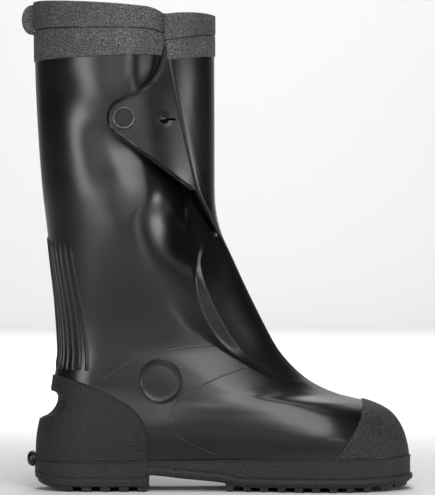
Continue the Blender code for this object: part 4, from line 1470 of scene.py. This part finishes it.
@dataclass(frozen=True)
class ClosingFlap:
    """The closing flap, with a raised border and a spare keyhole."""

    edge: tuple[Edge, ...] = edge_of(
        (264.5, -23.0), (275.0, -38.0), (290.0, -58.5), (299.0, -71.0), (307.5, -82.5), (315.0, -91.5),
        (321.0, -95.6), (326.6, -96.8), (332.0, -95.8), (339.0, -91.5), (344.0, -84.0), (350.5, -68.0),
        (359.5, -57.0), (372.5, -49.5), (389.0, -45.6)
    )
    clear: float = 0.35
    border_width: float = 2.3
    border_height: float = 0.6
    groove_at: float = 1.35
    groove_width: float = 0.4
    groove_depth: float = 0.75
    edge_reach: float = 0.8
    edge_start: float = 0.35
    rows: int = 90
    columns: int = 44
    keyhole: Point = Point(-46.7, 325.9)
    keyhole_radius: float = 3.4
    slit_end_x: float = -36.5
    slit_width: float = 2.0
    cut_reach: float = 10.0
    wide: float = 42.0
    edge_steps: tuple[float, ...] = (0.0, 0.12, 0.3, 0.55, 0.85, 1.15, 1.45, 1.75, 2.05, 2.35, 2.7, 3.1)
    border_run: float = 0.5
    rim_height: float = 0.5
    rim_gap: float = 1.0
    rim_width: float = 1.4
    mouth_deg: float = 16.0

    def build(self, form: Form) -> Object:
        """Builds the flap from the outer turn of the fold to its free edge, and cuts its keyhole.

        Args:
            form: The form of the upper.

        Returns:
            The piece.
        """
        height = np.linspace(self.edge[0].z, self.edge[-1].z, self.rows)
        level, left = form.place(along(self.edge, "z", "x", height), height)
        ridge = form.fold(level).ridge
        right = ridge + (form.ridge_radius + self.clear) / form.per_degree(level, ridge)
        share = lipped(self.columns, self.wide, self.edge_steps, False, True)[None, :]
        angles = right[:, None] + (left - right)[:, None] * share
        levels = np.broadcast_to(level[:, None], angles.shape)
        outside = form.surface(levels, angles, form.flap_thickness, Layer.FLAP)
        away = to_border(outside, densely(outside[:, -1], 8))
        depth = form.flap_thickness * edged(away, self.edge_reach, self.edge_start)
        depth = depth + self.border_height * (1.0 - ease((away - self.border_width) / self.border_run))
        depth = depth - self.groove_depth * np.exp(-(((away - self.groove_at) / self.groove_width) ** 2))
        depth = depth + self.keyhole_rim(outside)
        solid = Solid()
        faces = [form.surface(levels, angles, lift, Layer.FLAP) for lift in (0.0, depth)]
        solid.sheet(*faces)
        obj = solid.make("flap", [FLAP_PVC])
        self.cut(obj, float(outside[..., 1].min()))
        return settle_piece(obj, ["closing_flap"])

    def keyhole_rim(self, points: Array) -> Array:
        """Height of the low swelling round the keyhole.

        Args:
            points: Places on the flap.

        Returns:
            The heights.
        """
        away = np.hypot(points[..., 0] - self.keyhole.x, points[..., 2] - self.keyhole.z)
        away = away - self.keyhole_radius - self.rim_gap
        return self.rim_height * np.exp(-((away / self.rim_width) ** 2))

    def cut(self, obj: Object, front_y: float) -> None:
        """Cuts the keyhole through the flap.

        Args:
            obj: The flap.
            front_y: Where the flap lies across the overshoe.
        """
        turn = np.radians(np.linspace(self.mouth_deg, 360.0 - self.mouth_deg, 40))
        ring = np.column_stack([np.cos(turn), np.sin(turn)])
        bulb = ring * self.keyhole_radius + [self.keyhole.x, self.keyhole.z]
        half = self.slit_width / 2.0
        slit = [(self.slit_end_x, self.keyhole.z - half), (self.slit_end_x, self.keyhole.z + half)]
        outline = np.concatenate([bulb, slit])
        ends = (front_y - self.cut_reach, front_y + 3.0 * self.cut_reach)
        solid = Solid()
        solid.loft(np.stack([np.insert(outline, 1, y, axis=1) for y in ends]))
        cutter = solid.make("keyhole_cutter", [FLAP_PVC])
        step = obj.modifiers.new("keyhole", "BOOLEAN")
        step.solver = "EXACT"
        step.operation = "DIFFERENCE"
        step.object = cutter
        bpy.context.view_layer.update()
        cut = bpy.data.meshes.new_from_object(obj.evaluated_get(bpy.context.evaluated_depsgraph_get()))
        obj.modifiers.clear()
        obj.data = cut
        cut.materials.clear()
        cut.materials.append(FLAP_PVC.material())
        cut.shade_smooth()
        cut.set_sharp_from_angle(angle=math.radians(CRISP_DEG))
        bpy.data.objects.remove(cutter)


@dataclass(frozen=True)
class Turned:
    """A part that is round about its own axis, drawn as radius and height along it."""

    profile: tuple[tuple[float, float], ...]
    segments: int = 72

    def rows(self) -> Array:
        """Its rings, along its own axis.

        Returns:
            The points, as rows and columns.
        """
        turn = np.linspace(0.0, 2.0 * math.pi, self.segments, endpoint=False)
        radius, height = np.array(self.profile).T
        ring = np.stack([np.cos(turn), np.sin(turn)], axis=-1)
        flat = radius[:, None, None] * ring
        return np.concatenate([flat, np.broadcast_to(height[:, None, None], (*flat.shape[:2], 1))], axis=-1)


@dataclass(frozen=True)
class Button:
    """The button that holds the flap: a stem, a wide head with a fine raised rim, and a stippled middle."""

    place: Point = Point(-81.2, 326.6)
    radius: float = 9.7
    stem_radius: float = 3.6
    edge: float = 1.3
    height: float = 4.0
    gap: float = 0.3
    seat: float = 0.35

    def build(self, form: Form) -> Object:
        """Builds the button on the wall, in line with the view of the side.

        Args:
            form: The form of the upper.

        Returns:
            The piece.
        """
        under = form.flap_thickness + self.gap + self.seat
        top = under + self.height
        rim = self.radius - self.edge
        stem = ((0.01, self.gap), (self.stem_radius, self.gap), (self.stem_radius, under))
        head = (
            (self.radius - 0.5, under),
            (self.radius, under + 0.5),
            (self.radius, top - 1.1),
            (self.radius - 0.12, top - 0.65),
            (self.radius - 0.4, top - 0.25),
            (self.radius - 0.8, top),
            (rim + 0.2, top - 0.02),
            (rim - 0.15, top - 0.3),
            (rim - 0.3, top - 0.7),
            (rim - 0.35, top - 1.2),
        )
        middle = ((rim - 0.6, top - 1.25), (rim - 2.5, top - 1.05), (0.6 * rim, top - 0.9), (0.01, top - 0.8))
        across = Turned(stem + head + middle).rows()
        level, angle = form.place(self.place.x, self.place.z)
        wall_y = float(form.surface(level, angle, layer=Layer.FLAP)[..., 1])
        points = np.stack(
            [self.place.x + across[..., 0], wall_y - across[..., 2], self.place.z + across[..., 1]], axis=-1
        )
        solid = Solid()
        numbers = solid.add(points)
        split, rim_row = len(stem) + len(head), len(stem) + 3
        solid.cover(numbers[: rim_row + 1], closed=True)
        # The rim wears the lighter rim finish: a painted highlight.
        solid.cover(numbers[rim_row:split], closed=True, finish=2)
        solid.cover(numbers[split - 1 :], closed=True, finish=1)
        solid.face(numbers[0])
        solid.face(numbers[-1], 1)
        obj = solid.make("flap_button", [TRIM_PVC, STIPPLE, RIM_HIGHLIGHT_PVC])
        return settle_piece(obj, ["button_stud"])


@dataclass(frozen=True)
class AnkleDisc:
    """The plain round disc over the ankle, with a double raised ring."""

    place: Point = Point(-50.2, 96.8)
    spokes: int = 120
    profile: tuple[tuple[float, float], ...] = (
        (19.6, 0.0), (19.5, 0.7), (19.25, 1.2), (18.95, 1.35), (18.65, 1.2), (18.4, 0.6), (18.2, 0.4),
        (17.95, 0.5), (17.7, 1.1), (17.4, 1.25), (17.1, 1.1), (16.85, 0.5), (16.6, 0.38), (13.0, 0.45),
        (8.0, 0.52), (3.0, 0.55), (0.05, 0.55),
    )
    lift: float = 0.05

    def build(self, form: Form) -> Object:
        """Builds the disc in rings that follow the wall.

        Args:
            form: The form of the upper.

        Returns:
            The piece.
        """
        radius, rise = np.array(self.profile).T
        turn = np.linspace(0.0, 2.0 * math.pi, self.spokes, endpoint=False)
        x = self.place.x + radius[:, None] * np.cos(turn)
        z = self.place.z + radius[:, None] * np.sin(turn)
        level, angle = form.place(x, z)
        solid = Solid()
        outside = solid.add(form.surface(level, angle, self.lift + rise[:, None]))
        inside = solid.add(form.surface(level, angle, self.lift - BED))
        for numbers in (outside, inside):
            solid.cover(numbers, closed=True)
            solid.face(numbers[-1])
        solid.cover(np.stack([outside[0], inside[0]]), closed=True)
        obj = solid.make("ankle_roundel", [SHAFT_PVC], crisp_deg=70.0)
        return settle_piece(obj, ["ankle_disc"])


@dataclass(frozen=True)
class StyleLine:
    """A raised line of the moulding on the outer side of the foot."""

    name: str
    node: str
    path: tuple[Point, ...]
    width: float = 1.5
    height: float = 0.85
    steps: int = 110
    columns: int = 9
    end_run: float = 9.0
    end_share: float = 0.1
    clear: float = 0.02

    def build(self, form: Form) -> Object:
        """Builds the line as a rounded bead that follows the wall and dies out at its ends.

        Args:
            form: The form of the upper.

        Returns:
            The piece.
        """
        path = through(self.path, self.steps)
        way = units(np.gradient(path, axis=0))
        run = run_of(path)
        fade = ease(run / self.end_run + self.end_share)
        fade = fade * ease((run[-1] - run) / self.end_run + self.end_share)
        turn = np.linspace(-1.0, 1.0, self.columns)
        across = right_of(way)[:, None, :] * (turn * self.width / 2.0)[None, :, None]
        flat = path[:, None, :] + across
        level, angle = form.place(flat[..., 0], flat[..., 1])
        rise = self.height * fade[:, None] * np.sqrt(np.clip(1.0 - turn**2, 0.0, 1.0))[None, :]
        solid = Solid()
        solid.sheet(form.surface(level, angle, -BED), form.surface(level, angle, self.clear + rise))
        # The line wears the lighter line finish: a painted highlight.
        obj = solid.make(self.name, [LINE_HIGHLIGHT_PVC], crisp_deg=70.0)
        return settle_piece(obj, [self.node])


@dataclass(frozen=True)
class RearRibs:
    """The upright ribs round the back of the ankle, with pointed tops."""

    count: int = 15
    pitch_deg: float = 6.0
    width: float = 3.2
    height: float = 1.3
    top_z: float = 224.0
    bottom_z: float = 107.0
    drop_per_deg: float = 0.18
    point_run: float = 7.0
    stations: int = 40
    lean: float = 1.1
    point_steps: tuple[float, ...] = (0.0, 1.0, 2.5, 4.5, 7.0)
    tall: float = 115.0
    foot_run: float = 6.0
    foot_share: float = 0.15
    tip_run: float = 2.0
    tip_share: float = 0.35
    tip_width: float = 0.08
    tip_power: float = 0.8
    crest_power: float = 1.6
    clear: float = 0.05
    columns: int = 9

    def build(self, form: Form) -> Object:
        """Builds every rib on the wall.

        Args:
            form: The form of the upper.

        Returns:
            The piece.
        """
        levels = np.linspace(Level.TOPLINE, Level.CALF, 80)
        back_z = form.section(levels).back_z
        turn = np.linspace(-1.0, 1.0, self.columns)
        crest = np.clip(1.0 - np.abs(turn) ** self.crest_power, 0.0, 1.0)
        share = lipped(self.stations, self.tall, self.point_steps, False, True)
        solid = Solid()
        for number in range(self.count):
            from_back = (number - (self.count - 1) / 2.0) * self.pitch_deg
            top = self.top_z - self.drop_per_deg * abs(from_back)
            z = self.bottom_z + (top - self.bottom_z) * share
            level = np.interp(z, back_z, levels)[:, None]
            half = self.width / 2.0 / form.per_degree(level, 180.0)
            from_top = (top - z)[:, None]
            point = np.clip(from_top / self.point_run, 0.0, 1.0) ** self.tip_power
            taper = self.tip_width + (1.0 - self.tip_width) * point
            side = np.sign(from_back) * self.lean * (1.0 - ease(from_top / self.point_run)) * half
            angles = 180.0 - from_back - side + half * taper * turn
            fade = ease((z - self.bottom_z)[:, None] / self.foot_run + self.foot_share)
            fade = fade * (self.tip_share + (1.0 - self.tip_share) * ease(from_top / self.tip_run))
            rise = self.clear + self.height * fade * crest
            rows = np.broadcast_to(level, angles.shape)
            solid.sheet(form.surface(rows, angles, -BED), form.surface(rows, angles, rise))
        obj = solid.make("back_ribs", [SHAFT_PVC], crisp_deg=75.0)
        return settle_piece(obj, [f"rear_rib_{n + 1:02d}" for n in range(self.count)])


@dataclass(frozen=True)
class CleatRows:
    """A run of cleats, two to a row."""

    first_x: float
    pitch: float
    count: int
    foot_length: float
    root_length: float


@dataclass(frozen=True)
class Outsole:
    """The sole: heel, arch, welt, foxing round the upper, and cleats."""

    gap: float = 0.3
    foxing: float = 2.0
    welt_side: float = 1.4
    welt_toe: float = 0.7
    welt_start: float = 60.0
    toe_welt_x: float = 140.0
    toe_welt_run: float = 26.0
    welt_low: float = 3.4
    welt_middle: float = 6.5
    welt_high: float = 7.5
    tread_inset: float = 1.2
    points: int = 300
    forefoot: CleatRows = CleatRows(10.7, 15.05, 10, 6.2, 8.6)
    heel: CleatRows = CleatRows(-114.8, 16.4, 4, 8.0, 10.4)
    heel_block_x: float = -127.0
    toe_block_x: float = 156.0
    cleat_root: float = 1.2
    cleat_split: float = 6.0
    cleat_inset: float = 1.0
    cleat_draft: float = 0.6
    cleat_ease: float = 0.5
    cleat_flare: float = 0.25
    end_points: int = 41

    def outline(self, form: Form) -> Array:
        """Angles round the rim, with extra ones at the heel breast.

        Args:
            form: The form of the upper.

        Returns:
            The angles, from the back past the outer side and the front to the back.
        """
        even = 180.0 - np.linspace(0.0, 360.0, self.points, endpoint=False)
        extra = []
        for x in np.linspace(HEEL_BREAST_X - BREAST_RUN, HEEL_BREAST_X, 5):
            angle = float(form.angle_at(Level.RIM, x))
            extra += [angle, -angle]
        return np.sort(np.concatenate([even, extra]))[::-1]

    @staticmethod
    def moved(form: Form, angle: Array, lift: Array | float) -> Array:
        """Plan of the rim at angles, moved outwards.

        Args:
            form: The form of the upper.
            angle: The angles.
            lift: How far to move.

        Returns:
            An array of x and y.
        """
        level = np.full(np.shape(angle), float(Level.RIM))
        shift = right_of(form.tangent(level, angle)) * np.reshape(lift, (-1, 1))
        return form.plan(level, angle) + shift

    def build(self, form: Form) -> Object:
        """Builds the base with its profile, closes it above and below, and adds the cleats.

        Args:
            form: The form of the upper.

        Returns:
            The piece.
        """
        angle = self.outline(form)
        x = form.plan(np.full(angle.shape, float(Level.RIM)), angle)[:, 0]
        under, floor = along(SOLE_ROWS, "x", "under", x), along(SOLE_ROWS, "x", "floor", x)
        rim = form.height(np.full(x.shape, float(Level.RIM)), x)
        side = self.gap + self.foxing
        welt = side + self.welt_side * ease((x - HEEL_BREAST_X) / self.welt_start)
        welt = welt + self.welt_toe * ease((x - self.toe_welt_x) / self.toe_welt_run)
        groove = under + self.welt_high
        profile = (
            (side - self.tread_inset - 0.3, under),
            (side - 0.7 * self.tread_inset, under + 0.25),
            (side - 0.2 * self.tread_inset, under + 1.1),
            (welt - 0.25, under + self.welt_low - 0.8),
            (welt, under + self.welt_low + 0.3),
            (welt, under + self.welt_middle - 0.9),
            (welt - 0.2, under + self.welt_middle - 0.25),
            (0.5 * (welt + side), groove - 0.45),
            (side - 0.35, groove - 0.1),
            (side - 0.4, groove + 0.35),
            (side - 0.05, groove + 0.9),
            (side, groove + 1.6),
            (side, rim - 2.2),
            (side + 0.05, rim - 1.7),
            (side + 0.4, rim - 1.25),
            (side + 0.45, rim - 0.75),
            (side + 0.2, rim - 0.25),
            (side - 0.3, rim),
            (self.gap + 0.15, rim),
            (self.gap, rim - 0.2),
            (self.gap, floor),
        )
        rows = [np.column_stack([self.moved(form, angle, lift), z]) for lift, z in profile]
        solid = Solid()
        numbers = solid.add(np.stack(rows))
        solid.cover(numbers, closed=True)
        for row in (numbers[0], numbers[-1]):
            self.close(solid, row, x)
        self.cleats(form, solid)
        obj = solid.make("sole", [SOLE_GRAIN], crisp_deg=32.0)
        return settle_piece(obj, ["outsole"])

    @staticmethod
    def close(solid: Solid, row: Array, x: Array) -> None:
        """Closes a loop with triangles that run across, from the back to the front.

        Args:
            solid: The piece.
            row: Numbers of the loop's points.
            x: Their lengths.
        """
        front = int(np.argmax(x))
        outer = list(range(front + 1))
        inner = [0, *range(len(row) - 1, front, -1), front]
        i, j = 0, 0
        while i < len(outer) - 1 or j < len(inner) - 1:
            step_outer = j == len(inner) - 1 or (i < len(outer) - 1 and x[outer[i + 1]] <= x[inner[j + 1]])
            corners = [outer[i], outer[i + 1] if step_outer else inner[j + 1], inner[j]]
            if len(set(corners)) == 3:
                solid.face([row[c] for c in corners])
            i, j = (i + 1, j) if step_outer else (i, j + 1)

    def block(self, solid: Solid, foot: Array, root: Array) -> None:
        """Adds one cleat with an eased foot and flared sides.

        Args:
            solid: The piece.
            foot: Plan outline of its foot.
            root: Plan outline of its root.
        """
        middle = foot.mean(axis=0)
        low = along(SOLE_ROWS, "x", "cleat", foot[:, 0])
        high = along(SOLE_ROWS, "x", "under", root[:, 0]) + self.cleat_root
        inset = foot + units(middle - foot) * self.cleat_ease
        flare = foot + (root - foot) * self.cleat_flare
        rows = [
            np.column_stack([inset, low]),
            np.column_stack([foot, low + self.cleat_ease]),
            np.column_stack([flare, (low + high) / 2.0]),
            np.column_stack([root, high]),
        ]
        solid.loft(np.stack(rows))

    def cleat_outline(
        self, form: Form, x: float, length: float, lift: float, split: float, way: float
    ) -> Array:
        """Plan outline of one cleat, from the middle groove to the sole's edge.

        Args:
            form: The form of the upper.
            x: The middle of the cleat.
            length: Its length.
            lift: How far its outer end lies from the upper's edge.
            split: Half the width of the middle groove.
            way: 1 on the outer side and -1 on the inner side.

        Returns:
            The outline's corners.
        """
        corners = []
        for end in (x - length / 2.0, x + length / 2.0):
            angle = float(form.angle_at(Level.RIM, end))
            edges = self.moved(form, np.array([angle, -angle]), lift)[:, 1]
            corners.append(((end, edges[0] if way > 0 else edges[1]), (end, edges.mean() - way * split)))
        (outer_a, middle_a), (outer_b, middle_b) = corners
        return np.array([outer_a, outer_b, middle_b, middle_a])

    def cleats(self, form: Form, solid: Solid) -> None:
        """Adds the rows of cleats, the heel block and the toe block.

        Args:
            form: The form of the upper.
            solid: The piece.
        """
        root_lift = self.gap + self.foxing - self.tread_inset - self.cleat_inset
        foot_lift, split = root_lift - self.cleat_draft, self.cleat_split / 2.0
        for run in (self.forefoot, self.heel):
            for number in range(run.count):
                x = run.first_x + run.pitch * number
                for way in (1.0, -1.0):
                    foot = self.cleat_outline(form, x, run.foot_length, foot_lift, split, way)
                    root_split = split - self.cleat_draft
                    root = self.cleat_outline(form, x, run.root_length, root_lift, root_split, way)
                    self.block(solid, foot, root)
        toe, heel = (float(form.angle_at(Level.RIM, x)) for x in (self.toe_block_x, self.heel_block_x))
        for first, last in ((toe, -toe), (heel, 360.0 - heel)):
            angles = np.linspace(first, last, self.end_points)
            self.block(solid, self.moved(form, angles, foot_lift), self.moved(form, angles, root_lift))


@dataclass(frozen=True)
class HeelKnob:
    """The round knob at the back of the heel, on a low collar."""

    z: float = 26.8
    base_x: float = -162.7
    profile: tuple[tuple[float, float], ...] = (
        (0.01, -1.6), (5.6, -1.6), (5.9, 0.0), (6.6, 0.05), (7.0, 0.4), (7.0, 1.2), (6.9, 2.2), (6.5, 3.4),
        (5.7, 4.6), (4.5, 5.5), (3.0, 6.1), (1.5, 6.35), (0.01, 6.4),
    )

    def build(self) -> Object:
        """Builds the knob, pointing backwards.

        Returns:
            The piece.
        """
        turned_rows = Turned(self.profile).rows()
        points = np.stack(
            [self.base_x - turned_rows[..., 2], turned_rows[..., 0], self.z + turned_rows[..., 1]], axis=-1
        )
        solid = Solid()
        solid.loft(points)
        return settle_piece(solid.make("back_knob", [TRIM_PVC]), ["heel_knob"])


@dataclass(frozen=True)
class PullTab:
    """The flat half-round tab at the back of the collar."""

    seat_x: float = -163.6
    reach_x: float = -174.0
    top_z: float = 430.5
    height: float = 27.0
    thickness: float = 3.0
    edge: float = 0.9
    fullness: float = 0.85
    drop: float = 0.6
    trim: float = 0.2
    steps: int = 40

    def build(self) -> Object:
        """Builds the tab with eased edges, its root in the collar.

        Returns:
            The piece.
        """
        turn = np.linspace(0.0, math.pi, self.steps)
        out = np.sin(turn) ** self.fullness
        half = self.height / 2.0
        middle_z = self.top_z - half - self.drop
        rows = []
        for y, inset in ((-0.5, 0.9), (-0.45, 0.35), (-0.25, 0.0), (0.25, 0.0), (0.45, 0.35), (0.5, 0.9)):
            small = 1.0 - inset * self.edge / half
            x = self.seat_x + (self.reach_x - self.seat_x + inset * self.edge) * out
            z = middle_z + (half - self.trim) * small * np.cos(turn)
            rows.append(np.column_stack([x, np.full(self.steps, y * self.thickness), z]))
        solid = Solid()
        solid.loft(np.stack(rows))
        return settle_piece(solid.make("back_tab", [COLLAR_GRAIN]), ["pull_tab"])


@dataclass(frozen=True)
class Softbox:
    """A soft studio light, placed round the overshoe. Azimuth 0 is at the camera and 90 ahead of the toe."""

    name: str
    azimuth: float
    elevation: float
    distance: float
    width: float
    height: float
    radiance: float
    colour: Colour = (1.0, 1.0, 1.0)

    def build(self, target: Vector) -> None:
        """Hangs the light and turns it to a point.

        Args:
            target: The point, in metres.
        """
        a, e = math.radians(self.azimuth), math.radians(self.elevation)
        away = Vector((math.sin(a) * math.cos(e), -math.cos(a) * math.cos(e), math.sin(e)))
        light = bpy.data.lights.new(self.name, "AREA")
        light.shape = "RECTANGLE"
        light.size, light.size_y = self.width, self.height
        light.energy = self.radiance * math.pi * self.width * self.height
        light.color = self.colour
        obj = bpy.data.objects.new(self.name, light)
        obj.location = target + away * self.distance
        obj.rotation_euler = (-away).to_track_quat("-Z", "Y").to_euler()
        bpy.context.scene.collection.objects.link(obj)


@dataclass(frozen=True)
class Studio:
    """Pale paper swept up behind the overshoe, soft lights and the camera."""

    target: tuple[float, float, float] = (-0.04, 0.0, 0.25)
    camera_distance: float = 2.5
    camera_height: float = 0.2142
    view_height: float = 0.4401
    sensor: float = 36.0
    half_width: float = 7.0
    front_y: float = -7.0
    sweep_y: float = 5.0
    sweep_radius: float = 0.9
    top_z: float = 6.0
    ambient: float = 0.02
    lights: tuple[Softbox, ...] = (
        Softbox("left_strip", -43.0, 3.0, 1.3, 0.42, 0.5, 7.8, (0.96, 0.98, 1.0)),
        Softbox("left_bank", -14.0, 5.0, 1.3, 0.4, 0.35, 2.2),
        Softbox("right_bank", 71.5, -2.0, 1.3, 0.46, 0.34, 10.0, (1.0, 0.98, 0.95)),
        Softbox("front_bank", 9.0, 31.0, 1.3, 0.75, 0.95, 5.4),
        Softbox("foot_bank", 2.0, 12.0, 1.3, 0.44, 0.32, 3.6),
        Softbox("toe_bank", 24.5, -4.0, 1.35, 0.34, 0.22, 4.5),
        Softbox("top_bank", 20.0, 76.0, 1.3, 0.8, 0.4, 4.0),
        Softbox("back_bank", 170.0, 42.0, 2.2, 1.6, 1.2, 1.6),
    )
    paper_target: tuple[float, float, float] = (0.0, 4.6, 0.2)
    paper_light: Softbox = Softbox("paper_bank", 0.0, 42.7, 3.54, 1.6, 2.5, 16.0)

    def paper(self) -> None:
        """Lays the paper: a floor that sweeps up into a backdrop."""
        turn = np.linspace(0.0, math.pi / 2.0, 24)
        sweep = self.sweep_y + self.sweep_radius * np.sin(turn)
        y = np.concatenate([[self.front_y], sweep, [self.sweep_y + self.sweep_radius]])
        z = np.concatenate([[0.0], self.sweep_radius * (1.0 - np.cos(turn)), [self.top_z]])
        sides = (-self.half_width, self.half_width)
        rows = [np.column_stack([np.full(y.shape, x), y, z]) / MM for x in sides]
        solid = Solid()
        solid.cover(solid.add(np.stack(rows)))
        solid.make("studio_paper", [StudioPaper("studio_paper")])

    def camera(self) -> None:
        """Sets the camera level at the photographed side."""
        data = bpy.data.cameras.new("camera")
        data.sensor_width = self.sensor
        data.lens = self.sensor * self.camera_distance / self.view_height
        obj = bpy.data.objects.new("camera", data)
        obj.location = (0.0, -self.camera_distance, self.camera_height)
        obj.rotation_euler = (math.radians(90.0), 0.0, 0.0)
        bpy.context.scene.collection.objects.link(obj)
        bpy.context.scene.camera = obj

    def build(self) -> None:
        """Builds the paper, the lights, the faint room light and the camera."""
        self.paper()
        for light in self.lights:
            light.build(Vector(self.target))
        self.paper_light.build(Vector(self.paper_target))
        world = bpy.data.worlds.new("room")
        world.use_nodes = True
        world.node_tree.nodes["Background"].inputs["Color"].default_value = (1.0, 1.0, 1.0, 1.0)
        world.node_tree.nodes["Background"].inputs["Strength"].default_value = self.ambient
        bpy.context.scene.world = world
        bpy.context.scene.view_settings.view_transform = "Standard"
        self.camera()


ANKLE_LINE = StyleLine(
    "ankle_line",
    "ankle_seam",
    line_of((-101, 97.7), (-81, 111.5), (-52, 122), (-24, 127), (2, 128.5)),
)
VAMP_LINE = StyleLine(
    "vamp_line",
    "vamp_seam",
    line_of(
        (27, 110), (3, 101.5), (-13.5, 93.6), (-30, 84), (-39.5, 73), (-41, 63), (-35.5, 51), (-22, 42),
        (-2, 33)
    ),
)


def main() -> None:
    """Builds every piece in order, then the studio."""
    logging.basicConfig(level=logging.INFO, format="%(name)s %(message)s")
    form = Form()
    counts = Counts(near=64, dip=44, valley=12, middle=14, ridge=12, far=96)
    stretches = ((Level.EDGE, Level.RIM, 5), (Level.RIM, Level.INSTEP, 85), (Level.INSTEP, Level.COLLAR, 103))
    levels = np.unique(np.concatenate([np.linspace(*stretch) for stretch in stretches]))
    skin = Skin(form, counts, levels)
    Upper().build(skin)
    CollarBand().build(skin)
    ToeCap().build(form)
    HeelCounter().build(form)
    Outsole().build(form)
    ClosingFlap().build(form)
    Button().build(form)
    AnkleDisc().build(form)
    for line in (ANKLE_LINE, VAMP_LINE):
        line.build(form)
    RearRibs().build(form)
    HeelKnob().build()
    PullTab().build()
    Studio().build()


if __name__ == "__main__":
    main()
